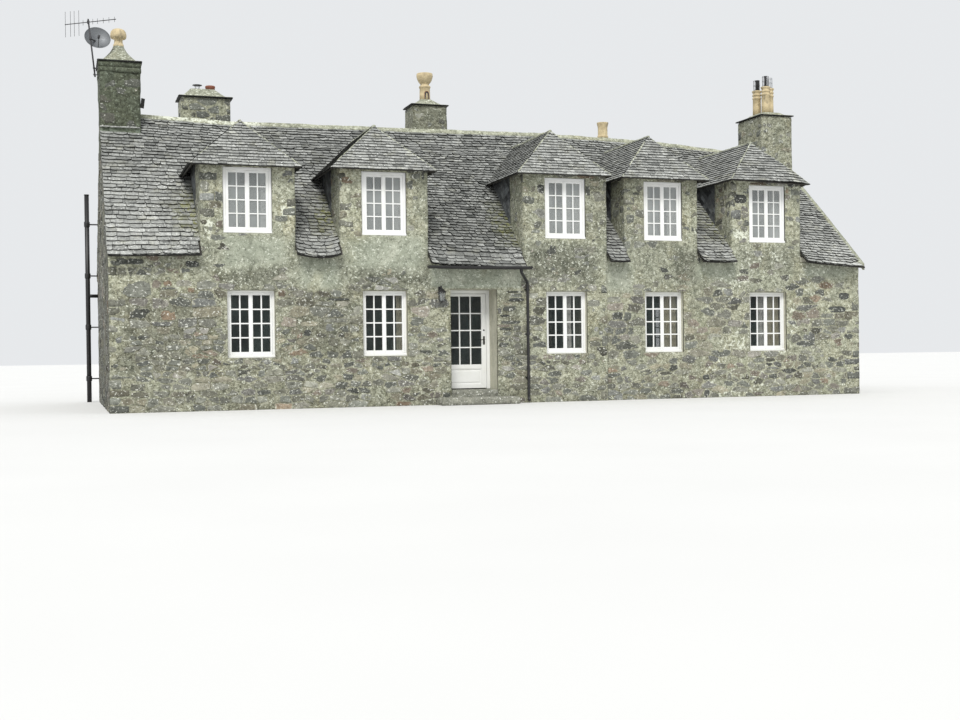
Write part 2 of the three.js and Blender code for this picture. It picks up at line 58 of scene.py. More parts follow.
# how far the main slates turn up against each cheek, left and right
SWEEP = [(0, .04), (.10, .015), (.015, .015), (.015, .015), (.015, .015)]
REAR_SWEEP = [(.03, .03), (.03, .03)]
WINDOWS = {
    "window_upper_1": (2.113, 3.048, 3.396, 4.662), "window_upper_2": (4.819, 5.730, 3.396, 4.662),
    "window_upper_3": (8.706, 9.616, 3.396, 4.662), "window_upper_4": (11.001, 11.909, 3.396, 4.662),
    "window_upper_5": (13.563, 14.470, 3.396, 4.662),
    "window_lower_1": (2.170, 3.086, 1.0, 2.3), "window_lower_2": (4.819, 5.728, 1.0, 2.3),
    "window_lower_3": (8.713, 9.633, 1.0, 2.3), "window_lower_4": (11.005, 11.921, 1.0, 2.3),
    "window_lower_5": (13.554, 14.480, 1.0, 2.3)}
REAR_WINDOWS = {
    "rear_window_upper_1": (5.095, 6.005, 3.396, 4.662), "rear_window_upper_2": (10.595, 11.505, 3.396, 4.662),
    "rear_window_lower_1": (1.200, 2.110, 1.0, 2.3), "rear_window_lower_2": (5.095, 6.005, 1.0, 2.3),
    "rear_window_lower_3": (10.595, 11.505, 1.0, 2.3)}
DOOR_X0, DOOR_X1, DOOR_HEAD, DOOR_Y, FLOOR = 6.63, 7.626, 2.34, .49, .30


# ---------------------------------------------------------------- camera
def turn(a, p, r):
    fwd = np.array([np.sin(a), np.cos(a), 0.0]); right = np.array([np.cos(a), -np.sin(a), 0.0]); up = np.array([0, 0, 1.0])
    f2 = fwd * np.cos(p) + up * np.sin(p); u2 = -fwd * np.sin(p) + up * np.cos(p)
    r2 = right * np.cos(r) + u2 * np.sin(r); u3 = -right * np.sin(r) + u2 * np.cos(r)
    return np.array([r2, -u3, f2])


FOCAL = 1244.3
R = turn(*[math.radians(v) for v in (18.60, -0.38, -0.73)])
cam = bpy.data.cameras.new("camera")
cam_ob = bpy.data.objects.new("camera", cam)
bpy.context.scene.collection.objects.link(cam_ob)
cam.sensor_width = 36
cam.lens = 36 * FOCAL / 960
cam.clip_end = 500
cam_ob.matrix_world = Matrix((
    (R[0][0], -R[1][0], -R[2][0], -0.849 - OX), (R[0][1], -R[1][1], -R[2][1], -24.045 - OY),
    (R[0][2], -R[1][2], -R[2][2], 1.062), (0, 0, 0, 1)))
bpy.context.scene.camera = cam_ob


# ---------------------------------------------------------------- noise
def hash2(ix, iy, s):
    h = (ix * 374761393 + iy * 668265263 + s * 1442695) & 0xFFFFFFFF
    h = ((h ^ (h >> 13)) * 1274126177) & 0xFFFFFFFF
    return ((h ^ (h >> 16)) & 0xFFFFFF) / float(0xFFFFFF)


def vnoise(x, y, s=0):
    x, y = np.broadcast_arrays(np.asarray(x, float), np.asarray(y, float))
    ix, iy = np.floor(x), np.floor(y)
    fx, fy = x - ix, y - iy
    fx, fy = fx * fx * (3 - 2 * fx), fy * fy * (3 - 2 * fy)
    ix, iy = ix.astype(np.int64), iy.astype(np.int64)
    a, b = hash2(ix, iy, s), hash2(ix + 1, iy, s)
    c, d = hash2(ix, iy + 1, s), hash2(ix + 1, iy + 1, s)
    return (a * (1 - fx) + b * fx) * (1 - fy) + (c * (1 - fx) + d * fx) * fy


def fbm(x, y, s=0, octaves=3):
    t, a, n = 0.0, .5, 0.0
    for i in range(octaves):
        t = t + a * vnoise(np.asarray(x) * 2 ** i + 7.3 * i, np.asarray(y) * 2 ** i + 3.1 * i, s + i * 17)
        n += a
        a *= .5
    return t / n


def ss(a, b, x):
    t = np.clip((np.asarray(x, float) - a) / (b - a), 0, 1)
    return t * t * (3 - 2 * t)


# ---------------------------------------------------------------- meshes
def volume(V, faces):
    v = 0.0
    for f in faces:
        for i in range(1, len(f) - 1):
            v += np.dot(V[f[0]], np.cross(V[f[i]], V[f[i + 1]]))
    return v


class Shells:
    """Collects closed shells and makes one object of them."""

    def __init__(self):
        self.V, self.L, self.C, self.M, self.S, self.A = [], [], [], [], [], []
        self.n = 0

    def bulk(self, V, faces, tint, mat=0, smooth=False):
        V = np.asarray(V, float)
        n, k, _ = V.shape
        if n == 0:
            return
        flat = np.concatenate([np.asarray(f) for f in faces])
        self.L.append((flat[None, :] + (np.arange(n) * k)[:, None] + self.n).ravel())
        self.C.append(np.tile([len(f) for f in faces], n))
        self.M.append(np.tile(np.broadcast_to(np.asarray(mat), (len(faces),)), n))
        self.S.append(np.full(n * len(faces), smooth))
        self.V.append(V.reshape(-1, 3))
        t = np.asarray(tint, float)
        t = np.broadcast_to(t[:, None, :] if t.ndim == 2 else t, (n, k, 4))
        self.A.append(t.reshape(-1, 4))
        self.n += n * k

    def add(self, V, faces, tint=(.5, .5, 0, .5), mat=0, smooth=False, check=True):
        V = np.asarray(V, float)
        if check and volume(V - V.mean(0), faces) < 0:
            faces = [tuple(reversed(f)) for f in faces]
        t = np.asarray(tint, float)
        if t.ndim == 2:
            t = t[None]
        self.bulk(V[None], faces, t if t.ndim == 3 else t[None], mat, smooth)

    def box(self, x0, x1, y0, y1, z0, z1, b=.004, tint=(.5, .5, 0, .5), mat=0):
        b = min(b, (x1 - x0) * .3, (y1 - y0) * .3, (z1 - z0) * .3)
        V = np.zeros((24, 3))
        lo, hi = (x0, y0, z0), (x1, y1, z1)
        for c in range(8):
            for a in range(3):
                for k in range(3):
                    top = (c >> k) & 1
                    v = hi[k] if top else lo[k]
                    if k != a:
                        v += -b if top else b
                    V[c * 3 + a, k] = v
        self.bulk(V[None], BOX_FACES, np.asarray(tint)[None], mat)

    def loft(self, rings, tint=(.5, .5, 0, .5), mat=0, smooth=True, cap=True, closed=False):
        rings = np.asarray(rings, float)
        n, k, _ = rings.shape
        F = []
        for i in range(n if closed else n - 1):
            a, b = i * k, ((i + 1) % n) * k
            for j in range(k):
                F.append((a + j, a + (j + 1) % k, b + (j + 1) % k, b + j))
        if cap and not closed:
            F.append(tuple(range(k - 1, -1, -1)))
            F.append(tuple(range((n - 1) * k, n * k)))
        self.add(rings.reshape(-1, 3), F, tint, mat, smooth)

    def lathe(self, prof, x, y, n=32, tint=(.5, .5, 0, .5), mat=0, wob=0.0, seed=0):
        a = np.arange(n) * 2 * math.pi / n
        rings = []
        for r, z in prof:
            r = max(r, .0006)
            rr = r * (1 + wob * (vnoise(a * 2, z * 9, seed) - .5))
            rings.append(np.stack([x + rr * np.cos(a), y + rr * np.sin(a), np.full(n, z)], 1))
        self.loft(rings, tint, mat)

    def tube(self, pts, r, n=12, tint=(.5, .5, 0, .5), mat=0, flat=1.0):
        pts = np.asarray(pts, float)
        r = np.broadcast_to(np.asarray(r, float), (len(pts),))
        a = np.arange(n) * 2 * math.pi / n
        rings, ref = [], None
        for i in range(len(pts)):
            t = pts[min(i + 1, len(pts) - 1)] - pts[max(i - 1, 0)]
            t = t / np.linalg.norm(t)
            if ref is None:
                ref = np.array([0, 0, 1.0]) if abs(t[2]) < .9 else np.array([1.0, 0, 0])
            u = ref - t * np.dot(ref, t)
            u /= np.linalg.norm(u)
            ref = u
            w = np.cross(t, u)
            rings.append(pts[i] + r[i] * (np.cos(a)[:, None] * u * flat + np.sin(a)[:, None] * w))
        self.loft(rings, tint, mat)

    def object(self, name, mats, replaces=(), body="house", turned=False):
        V = np.concatenate(self.V)
        if turned:
            V = V * [-1, -1, 1] + [LENGTH, DEPTH, 0]
        V = V - [OX, OY, 0]
        V[:, 2] = np.maximum(V[:, 2], 0)
        L, C = np.concatenate(self.L).astype(np.int32), np.concatenate(self.C).astype(np.int32)
        me = bpy.data.meshes.new(name)
        me.vertices.add(len(V))
        me.vertices.foreach_set("co", V.ravel())
        me.loops.add(len(L))
        me.polygons.add(len(C))
        starts = np.concatenate([[0], np.cumsum(C)[:-1]]).astype(np.int32)
        me.polygons.foreach_set("loop_start", starts)
        me.polygons.foreach_set("vertices", L)
        me.polygons.foreach_set("material_index", np.concatenate(self.M).astype(np.int32))
        me.polygons.foreach_set("use_smooth", np.concatenate(self.S))
        at = me.attributes.new("tint", "FLOAT_COLOR", "POINT")
        at.data.foreach_set("color", np.concatenate(self.A).ravel())
        for m in mats:
            me.materials.append(m)
        me.update(calc_edges=True)
        me.validate()
        ob = bpy.data.objects.new(name, me)
        bpy.context.scene.collection.objects.link(ob)
        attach(ob, body)
        if replaces:
            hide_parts(*replaces)
        TRIS[name] = int((C - 2).sum())
        return ob


TRIS = {}


def box_faces():
    F = []
    for a in range(3):
        o = [k for k in range(3) if k != a]
        for s in (0, 1):
            q = []
            for i, j in ((0, 0), (1, 0), (1, 1), (0, 1)):
                q.append(((s << a) | (i << o[0]) | (j << o[1])) * 3 + a)
            F.append(tuple(q))
    for e in range(3):
        a, b = [k for k in range(3) if k != e]
        for i in (0, 1):
            for j in (0, 1):
                c0 = (i << a) | (j << b)
                c1 = c0 | (1 << e)
                F.append((c0 * 3 + a, c0 * 3 + b, c1 * 3 + b, c1 * 3 + a))
    for c in range(8):
        F.append((c * 3, c * 3 + 1, c * 3 + 2))
    P = np.zeros((24, 3))
    for c in range(8):
        for a in range(3):
            for k in range(3):
                s = 1 if (c >> k) & 1 else -1
                P[c * 3 + a, k] = s * (1 if k == a else .8)
    out = []
    for f in F:
        p = P[list(f)]
        nrm = np.cross(p[1] - p[0], p[2] - p[0])
        out.append(f if np.dot(nrm, p.mean(0)) > 0 else tuple(reversed(f)))
    return out


BOX_FACES = box_faces()


def block(m, lo, hi, seg, r, wob, seed, tint, mat=0, freq=7.0):
    """A rough dressed stone: a box with rounded edges and an uneven face."""
    lo, hi = np.asarray(lo, float), np.asarray(hi, float)
    nx, ny, nz = seg
    idx, V, F = {}, [], []

    def vid(i, j, k):
        key = (i, j, k)
        if key not in idx:
            idx[key] = len(V)
            V.append(lo + (hi - lo) * np.array([i / nx, j / ny, k / nz]))
        return idx[key]

    for k in (0, nz):
        for i in range(nx):
            for j in range(ny):
                q = (vid(i, j, k), vid(i + 1, j, k), vid(i + 1, j + 1, k), vid(i, j + 1, k))
                F.append(q if k else q[::-1])
    for j in (0, ny):
        for i in range(nx):
            for k in range(nz):
                q = (vid(i, j, k), vid(i, j, k + 1), vid(i + 1, j, k + 1), vid(i + 1, j, k))
                F.append(q if j else q[::-1])
    for i in (0, nx):
        for j in range(ny):
            for k in range(nz):
                q = (vid(i, j, k), vid(i, j + 1, k), vid(i, j + 1, k + 1), vid(i, j, k + 1))
                F.append(q if i else q[::-1])
    V = np.array(V)
    c = np.clip(V, lo + r, hi - r)
    d = V - c
    n = np.linalg.norm(d, axis=1, keepdims=True)
    n[n == 0] = 1
    V = c + d / n * r
    w = (fbm(V[:, 0] * freq + V[:, 1] * freq * .8, V[:, 2] * freq * 1.2 + V[:, 1] * freq, seed, 2) - .5) * 2 * wob
    V = V + d / n * w[:, None]
    m.add(V, F, tint, mat, smooth=True, check=False)


# ---------------------------------------------------------------- materials
class Mat:
    def __init__(self, name):
        self.m = bpy.data.materials.new(name)
        self.m.use_nodes = True
        self.t = self.m.node_tree
        self.t.nodes.clear()
        self.out = self.t.nodes.new("ShaderNodeOutputMaterial")
        self.b = self.t.nodes.new("ShaderNodeBsdfPrincipled")
        self.t.links.new(self.b.outputs[0], self.out.inputs[0])
        self.co = self.t.nodes.new("ShaderNodeTexCoord").outputs["Object"]
        self.at = None

    def put(self, sock, v):
        if isinstance(v, bpy.types.NodeSocket):
            self.t.links.new(v, sock)
        elif isinstance(v, (tuple, list)) and len(v) == 3 and sock.type == "RGBA":
            sock.default_value = (*v, 1)
        else:
            sock.default_value = v

    def set(self, name, v):
        self.put(self.b.inputs[name], v)
        return self

    def tint(self):
        if self.at is None:
            a = self.t.nodes.new("ShaderNodeAttribute")
            a.attribute_name = "tint"
            s = self.t.nodes.new("ShaderNodeSeparateColor")
            self.t.links.new(a.outputs["Color"], s.inputs[0])
            self.at = (s.outputs[0], s.outputs[1], s.outputs[2], a.outputs["Alpha"])
        return self.at

    def scaled(self, sx, sy, sz, off=0.0):
        n = self.t.nodes.new("ShaderNodeMapping")
        self.put(n.inputs["Vector"], self.co)
        n.inputs["Scale"].default_value = (sx, sy, sz)
        n.inputs["Location"].default_value = (off, off * .7, off * .3)
        return n.outputs[0]

    def noise(self, scale, detail=4.0, rough=.6, vec=None, dist=0.0):
        n = self.t.nodes.new("ShaderNodeTexNoise")
        self.put(n.inputs["Vector"], vec or self.co)
        n.inputs["Scale"].default_value = scale
        n.inputs["Detail"].default_value = detail
        n.inputs["Roughness"].default_value = rough
        n.inputs["Distortion"].default_value = dist
        return n.outputs["Fac"]

    def cells(self, scale, vec=None, feature="F1"):
        n = self.t.nodes.new("ShaderNodeTexVoronoi")
        n.feature = feature
        self.put(n.inputs["Vector"], vec or self.co)
        n.inputs["Scale"].default_value = scale
        return n.outputs["Distance"]

    def wave(self, scale, dist, vec=None, direction="X", detail=3.0):
        n = self.t.nodes.new("ShaderNodeTexWave")
        n.bands_direction = direction
        self.put(n.inputs["Vector"], vec or self.co)
        n.inputs["Scale"].default_value = scale
        n.inputs["Distortion"].default_value = dist
        n.inputs["Detail"].default_value = detail
        return n.outputs["Fac"]

    def ramp(self, fac, stops, mode="LINEAR"):
        n = self.t.nodes.new("ShaderNodeValToRGB")
        n.color_ramp.interpolation = mode
        e = n.color_ramp.elements
        while len(e) < len(stops):
            e.new(.5)
        for el, (p, c) in zip(e, stops):
            el.position = p
            el.color = (*c, 1) if isinstance(c, (tuple, list)) else (c, c, c, 1)
        self.put(n.inputs[0], fac)
        return n.outputs[0]

    def step(self, fac, a, b):
        n = self.t.nodes.new("ShaderNodeMapRange")
        n.interpolation_type = "SMOOTHSTEP"
        self.put(n.inputs["Value"], fac)
        n.inputs["From Min"].default_value = a
        n.inputs["From Max"].default_value = b
        return n.outputs[0]

    def line(self, fac, a, b, c, d):
        n = self.t.nodes.new("ShaderNodeMapRange")
        self.put(n.inputs["Value"], fac)
        for k, v in zip(("From Min", "From Max", "To Min", "To Max"), (a, b, c, d)):
            n.inputs[k].default_value = v
        return n.outputs[0]

    def mix(self, fac, a, b, mode="MIX"):
        n = self.t.nodes.new("ShaderNodeMix")
        n.data_type = "RGBA"
        n.blend_type = mode
        self.put(n.inputs[0], fac)
        self.put(n.inputs[6], a)
        self.put(n.inputs[7], b)
        return n.outputs[2]

    def math(self, op, a, b=0.0, clamp=False):
        n = self.t.nodes.new("ShaderNodeMath")
        n.operation = op
        n.use_clamp = clamp
        self.put(n.inputs[0], a)
        self.put(n.inputs[1], b)
        return n.outputs[0]

    def z(self):
        s = self.t.nodes.new("ShaderNodeSeparateXYZ")
        self.put(s.inputs[0], self.co)
        return s.outputs

    def bump(self, h, strength, distance, normal=None):
        n = self.t.nodes.new("ShaderNodeBump")
        n.inputs["Strength"].default_value = strength
        n.inputs["Distance"].default_value = distance
        self.put(n.inputs["Height"], h)
        if normal is not None:
            self.put(n.inputs["Normal"], normal)
        return n.outputs[0]


def speckle(m, col, strength=1.0, off=0.0):
    """Dark pits and white flecks a few centimetres across."""
    pit = m.step(m.noise(15, 5, .68, m.scaled(1, 1, 1.25, 11.0 + off)), .56, .605)
    col = m.mix(m.math("MULTIPLY", pit, .58 * strength), col, m.mix(1.0, col, (.24, .24, .22), "MULTIPLY"))
    fleck = m.step(m.noise(20, 4, .68, m.scaled(1, 1, 1.2, 21.0 + off)), .59, .63)
    return m.mix(m.math("MULTIPLY", fleck, .85 * strength), col, (.78, .79, .72))


def lime_colour(m, n2, n1):
    a = m.ramp(n2, [(.30, (.150, .146, .108)), (.44, (.320, .312, .240)), (.56, (.480, .472, .378)), (.70, (.700, .692, .600))])
    grit = m.noise(33, 6, .8, m.scaled(1, 1, 1.2, 6.0))
    a = m.mix(1.0, a, m.line(grit, .28, .72, .52, 1.34), "MULTIPLY")
    return m.mix(m.math("MULTIPLY", m.step(n1, .48, .70), .45), a, m.mix(1.0, a, (.84, .90, .82), "MULTIPLY"))


def stone_material(name, dirt=.35, tone=1.0, smear=1.0):
    m = Mat(name)
    hue, val, lich, edge = m.tint()
    base = m.ramp(hue, [(0.0, (.110, .116, .104)), (.16, (.225, .235, .200)), (.34, (.300, .302, .252)),
                        (.52, (.205, .205, .160)), (.66, (.370, .345, .250)), (.80, (.262, .272, .255)),
                        (.93, (.310, .235, .160)), (1.0, (.340, .345, .318))])
    coarse = m.noise(7, 5, .65)
    fine = m.noise(42, 6, .7)
    k = m.math("MULTIPLY", m.line(val, 0, 1, .44 * tone, 1.52 * tone), m.line(coarse, .25, .75, .56, 1.42))
    k = m.math("MULTIPLY", k, m.line(fine, .2, .8, .60, 1.38))
    col = m.mix(1.0, base, k, "MULTIPLY")
    # bedding streaks
    streak = m.noise(9, 4, .6, m.scaled(1, 1, 6.5))
    col = m.mix(m.step(streak, .56, .72), col, m.mix(1.0, col, (.55, .54, .52), "MULTIPLY"))
    # dark damp algae
    col = m.mix(m.math("MULTIPLY", m.step(m.noise(3.1, 5, .7), .5, .68), dirt), col, (.075, .078, .062))
    # old mortar smeared over the rims
    n1, n2 = m.noise(2.3, 5, .65), m.noise(11, 6, .7, m.scaled(1, 1, 1, 4.0))
    sm = m.step(m.math("ADD", m.noise(15, 5, .7, m.scaled(1, 1, 1.3, 5.0)), m.math("MULTIPLY", edge, .40 * smear)), .70, .80)
    col = m.mix(sm, col, m.mix(1.0, lime_colour(m, n2, n1), m.line(fine, .2, .8, .78, 1.16), "MULTIPLY"))
    # pale crusts
    spots = m.step(m.noise(15, 5, .72, m.scaled(1, 1, 1.2, 3.0)), .60, .66)
    patch = m.step(m.noise(4.2, 3, .6, m.scaled(1, 1, 1, 8.0)), .47, .62)
    lf = m.math("MULTIPLY", m.math("MULTIPLY", spots, patch), m.line(lich, 0, 1, .25, .9))
    col = m.mix(lf, col, (.62, .63, .56))
    col = speckle(m, col, .9)
    m.set("Base Color", col).set("Roughness", .92)
    h = m.math("ADD", m.math("MULTIPLY", coarse, 1.2), m.math("MULTIPLY", fine, .5))
    m.set("Normal", m.bump(h, .9, .012))
    return m.m


def mortar_material(name, tone=(1, 1, 1)):
    m = Mat(name)
    cover, pale, dark, white = m.tint()
    n1, n2, n3 = m.noise(2.3, 5, .65), m.noise(11, 6, .7, m.scaled(1, 1, 1, 4.0)), m.noise(55, 5, .75)
    lime = lime_colour(m, n2, n1)
    render = m.ramp(n2, [(.28, (.170, .176, .138)), (.44, (.285, .294, .240)), (.58, (.385, .396, .335)), (.74, (.510, .522, .452))])
    smooth = m.ramp(n1, [(.30, (.240, .258, .214)), (.50, (.325, .342, .288)), (.70, (.500, .506, .440))])
    col = m.mix(m.math("MULTIPLY", cover, .6), lime, render)
    col = m.mix(pale, col, smooth)
    # open joints and hair cracks
    joint = m.noise(6.5, 5, .62, m.scaled(1, 1, 1.5, 11.0))
    crack = m.step(m.math("ABSOLUTE", m.math("SUBTRACT", joint, .5)), .030, .008)
    crack = m.math("MULTIPLY", crack, m.line(pale, 0, 1, .80, .20))
    col = m.mix(crack, col, m.mix(1.0, col, (.30, .30, .27), "MULTIPLY"))
    # weather mottling, heavier where the zone is darker
    blot = m.step(m.noise(5.5, 6, .72, m.scaled(1.15, 1.15, .8, 9.0)), .49, .64)
    fleck = m.step(m.noise(27, 4, .7, m.scaled(1, 1, 1, 2.0)), .54, .64)
    amt = m.math("ADD", m.math("MULTIPLY", blot, .85), m.math("MULTIPLY", fleck, .4), clamp=True)
    amt = m.math("MULTIPLY", amt, m.line(dark, 0, 1, .42, 1.0))
    amt = m.math("MULTIPLY", amt, m.line(cover, .1, .8, .38, 1.0))
    col = m.mix(amt, col, m.mix(n3, (.080, .088, .064), (.200, .208, .165)))
    col = m.mix(1.0, col, m.line(dark, .25, 1.0, 1.12, .56), "MULTIPLY")
    warm = m.math("MULTIPLY", m.step(m.noise(1.3, 4, .6, m.scaled(1, 1, 1, 6.0)), .52, .70), .30)
    col = m.mix(warm, col, m.mix(1.0, col, (1.0, .88, .64), "MULTIPLY"))
    col = speckle(m, col, .85, 3.0)
    wn = m.step(m.math("ADD", m.noise(13, 5, .7, m.scaled(1, 1, 1.1, 7.0)), m.math("MULTIPLY", white, .20)), .66, .72)
    col = m.mix(m.math("MULTIPLY", wn, .85), col, (.76, .77, .70))
    col = m.mix(1.0, m.mix(1.0, col, m.line(n3, .25, .75, .66, 1.30), "MULTIPLY"), tone, "MULTIPLY")
    m.set("Base Color", col).set("Roughness", .95)
    h = m.math("ADD", m.math("MULTIPLY", n2, 1.0), m.math("MULTIPLY", n3, .45))
    m.set("Normal", m.bump(h, .8, .010))
    return m.m


def slate_material(name, tone=1.0, lichen=1.0, blue=0.0, base=((.070, .074, .070), (.475, .485, .462))):
    m = Mat(name)
    val, lich, moss, rnd = m.tint()
    b0, b1 = base
    c = m.mix(val, (b0[0], b0[1], b0[2] + .010 * blue), (b1[0] * (1 - .10 * blue), b1[1] * (1 - .05 * blue), b1[2] + .02 * blue))
    n1, n2 = m.noise(9, 5, .66), m.noise(38, 6, .74)
    k = m.math("MULTIPLY", m.line(n1, .25, .75, .58 * tone, 1.40 * tone), m.line(n2, .2, .8, .48, 1.50))
    col = m.mix(1.0, c, k, "MULTIPLY")
    warm = m.step(m.noise(3.7, 3, .6, m.scaled(1, 1, 1, 5.0)), .52, .7)
    col = m.mix(m.math("MULTIPLY", warm, .35), col, m.mix(1.0, col, (1.10, 1.06, .84), "MULTIPLY"))
    pit = m.step(m.noise(30, 3, .6, m.scaled(1, 1, 1, 13.0)), .56, .62)
    col = m.mix(m.math("MULTIPLY", pit, .60), col, m.mix(1.0, col, (.30, .30, .30), "MULTIPLY"))
    crust = m.step(m.noise(22, 6, .75, m.scaled(1, 1, 1, 2.0)), .53, .60)
    area = m.step(m.noise(5.2, 4, .65, m.scaled(1, 1, 1, 1.0)), .38, .60)
    f = m.math("MULTIPLY", m.math("MULTIPLY", crust, area), m.math("MULTIPLY", lich, lichen), clamp=True)
    col = m.mix(f, col, (.60, .615, .575))
    spot = m.math("MULTIPLY", m.step(m.cells(17, m.scaled(1, 1, 1, .5)), .30, .20), m.step(m.noise(2.9, 3, .6), .44, .58))
    col = m.mix(m.math("MULTIPLY", spot, m.math("MULTIPLY", lich, lichen, clamp=True)), col, (.82, .83, .80))
    mossy = m.math("MULTIPLY", m.step(m.noise(12, 5, .7, m.scaled(1, 1, 1, 6.0)), .42, .58), moss)
    col = m.mix(mossy, col, m.mix(n2, (.115, .125, .022), (.300, .300, .070)))
    m.set("Base Color", col).set("Roughness", .82).set("Specular IOR Level", .35)
    h = m.math("ADD", m.math("MULTIPLY", n1, .8), m.math("MULTIPLY", n2, .5))
    m.set("Normal", m.bump(h, .75, .008))
    return m.m


def paint_material(name, colour=(.84, .845, .83), rough=.42):
    m = Mat(name)
    n = m.noise(2.6, 4, .6)
    g = m.wave(14, 6, m.scaled(1, 1, .25), "X", 3)
    col = m.mix(m.step(n, .45, .75), colour, tuple(c * f for c, f in zip(colour, (.93, .93, .90))))
    grime = m.math("MULTIPLY", m.step(m.noise(21, 5, .7), .60, .74), .28)
    col = m.mix(grime, col, (.52, .52, .46))
    m.set("Base Color", col).set("Roughness", rough)
    m.set("Normal", m.bump(m.math("ADD", m.math("MULTIPLY", g, .25), m.noise(60, 3, .6)), .22, .002))
    return m.m


def glass_material(name, colour, alpha, streak):
    m = Mat(name)
    n = m.noise(2.1, 3, .5, m.scaled(1, 1, .5))
    # the pane colour is painted light, not the glass's own: a tint with lighter streaky patches
    m.set("Base Color", m.mix(m.step(n, .35, .7), colour, tuple(min(1, c * streak) for c in colour)))
    m.set("Roughness", .06).set("Alpha", alpha).set("Specular IOR Level", .5)
    m.set("Normal", m.bump(m.noise(1.7, 2, .5), .12, .01))
    return m.m


def metal_material(name, colour, rough, metallic=0.0, rust=.1):
    m = Mat(name)
    n = m.noise(30, 5, .7)
    col = m.mix(m.math("MULTIPLY", m.step(n, .52, .70), rust), colour, (.13, .075, .04))
    col = m.mix(m.math("MULTIPLY", m.step(m.noise(8, 4, .6), .5, .75), .4), col, tuple(c * 1.7 for c in colour))
    m.set("Base Color", col).set("Roughness", rough).set("Metallic", metallic)
    m.set("Normal", m.bump(n, .25, .002))
    return m.m


def clay_material(name, base, dark, dirt=.5):
    m = Mat(name)
    n, f = m.noise(8, 5, .65), m.noise(45, 5, .7)
    col = m.mix(m.step(n, .35, .7), base, dark)
    col = m.mix(m.math("MULTIPLY", m.step(m.noise(5, 5, .7, m.scaled(1.6, 1.6, .6, 2.0)), .48, .68), dirt), col, (.16, .14, .105))
    col = m.mix(1.0, col, m.line(f, .2, .8, .82, 1.15), "MULTIPLY")
    m.set("Base Color", col).set("Roughness", .85)
    m.set("Normal", m.bump(m.math("ADD", n, f), .4, .004))
    return m.m


def wood_material(name, a, b, scale=1.0, dir="X"):
    m = Mat(name)
    g = m.wave(6 * scale, 7, m.scaled(.3, 5, 1) if dir == "X" else m.scaled(1, 1, .2), "Y", 4)
    n = m.noise(35, 5, .7)
    col = m.mix(g, a, b)
    col = m.mix(1.0, col, m.line(n, .2, .8, .75, 1.2), "MULTIPLY")
    m.set("Base Color", col).set("Roughness", .7)
    m.set("Normal", m.bump(m.math("ADD", g, n), .3, .003))
    return m.m


def cloth_material(name, colour):
    m = Mat(name)
    w = m.wave(260, .6, None, "X", 1)
    w2 = m.wave(260, .6, None, "Z", 1)
    col = m.mix(m.noise(5, 3, .6), colour, tuple(c * .86 for c in colour))
    m.set("Base Color", col).set("Roughness", .95)
    m.set("Sheen Weight", .25)
    m.set("Normal", m.bump(m.math("ADD", w, w2), .25, .001))
    return m.m


STONE = stone_material("rubble_stone", tone=.76, smear=.62)
# darker copy of the stone for the left gable: painted shade
STONE_SHADE = stone_material("gable_stone_painted_shade", dirt=.5, tone=.46, smear=.35)
STONE_DARK = stone_material("stack_stone", dirt=.6, tone=.50, smear=.2)
MORTAR = mortar_material("lime_mortar_and_render", (.965, .985, .925))
MORTAR_DARK = mortar_material("weathered_mortar", (.36, .41, .35))
# darker copy of the mortar for the left gable: painted shade
MORTAR_SHADE = mortar_material("gable_mortar_painted_shade", (.42, .43, .39))
SLATE = slate_material("roof_slate")
# near-black slate edges and undersides: painted shade in the lines between the courses and along the capping slabs
SHADED_SLATE_EDGE = slate_material("slate_edges", tone=.40, lichen=.20, base=((.020, .021, .019), (.080, .082, .075)))
CHEEK = slate_material("cheek_slate", tone=.42, lichen=.15, blue=1.0)
CHEEK_EDGE = slate_material("cheek_slate_edges", tone=.80, lichen=.2)
PAINT = paint_material("white_paint")
PLASTER = clay_material("reveal_plaster", (.56, .545, .445), (.46, .455, .365), .35)
# upper panes and lantern pale grey, painted sky reflection; lower panes and door glass near-black, painted shade of the
# rooms behind
GLASS_UP = glass_material("upper_glass_painted_reflection", (.34, .36, .355), .48, 1.3)
GLASS_LOW = glass_material("lower_glass_painted_shade", (.020, .028, .026), .30, 2.4)
IRON = metal_material("black_iron", (.014, .014, .015), .42, 0.0, .08)
ALU = metal_material("dull_aluminium", (.17, .18, .19), .5, .35, .03)
BUFF = clay_material("buff_clay", (.66, .545, .335), (.50, .405, .245), .55)
RED = clay_material("red_clay", (.30, .105, .065), (.215, .085, .055), .5)
LEAD = metal_material("dark_metal", (.045, .045, .048), .55, .2, .1)
# near-black boarding and cheek framing: painted shade under the slates and behind the cheeks
SARKING_SHADE = wood_material("roof_boarding_painted_shade", (.020, .018, .015), (.036, .032, .026))
BOARDS = wood_material("floor_boards", (.22, .14, .075), (.31, .21, .12))
BRASS = metal_material("handle_metal", (.03, .028, .025), .35, .6, .05)
CREAM = cloth_material("cream_cloth", (.93, .92, .88))
OATMEAL = cloth_material("oatmeal_cloth", (.74, .69, .53))


# ---------------------------------------------------------------- roof surfaces
def swept(z, x, y, dormers, sweep):
    fade = 1 - ss(3.9, 4.65, z)
    out = np.zeros_like(z)
    for (x0, x1, *_), (al, ar) in zip(dormers, sweep):
        for amp, d in ((al, x0 - x), (ar, x - x1)):
            t = np.clip(1 - d / .42, 0, 1) * (d > -.12)
            out = out + amp * t * t
    return z + out * fade * (1 - ss(.10, .38, y))


def z_front(x, y, sweep=True):
    x, y = np.broadcast_arrays(np.asarray(x, float), np.asarray(y, float))
    e, r = np.interp(x, EX, EZ), np.interp(x, RX, RZ)
    s = (y + .25) / 3.65
    z = e + (r - e) * s + (.012 + .010 * ss(13.6, 16.3, x)) * np.sin(np.clip(s, 0, 1) * math.pi)
    z = z + .018 * (fbm(x * .9, y * .9, 5, 2) - .5)
    return swept(z, x, y, DORMERS, SWEEP) if sweep else z


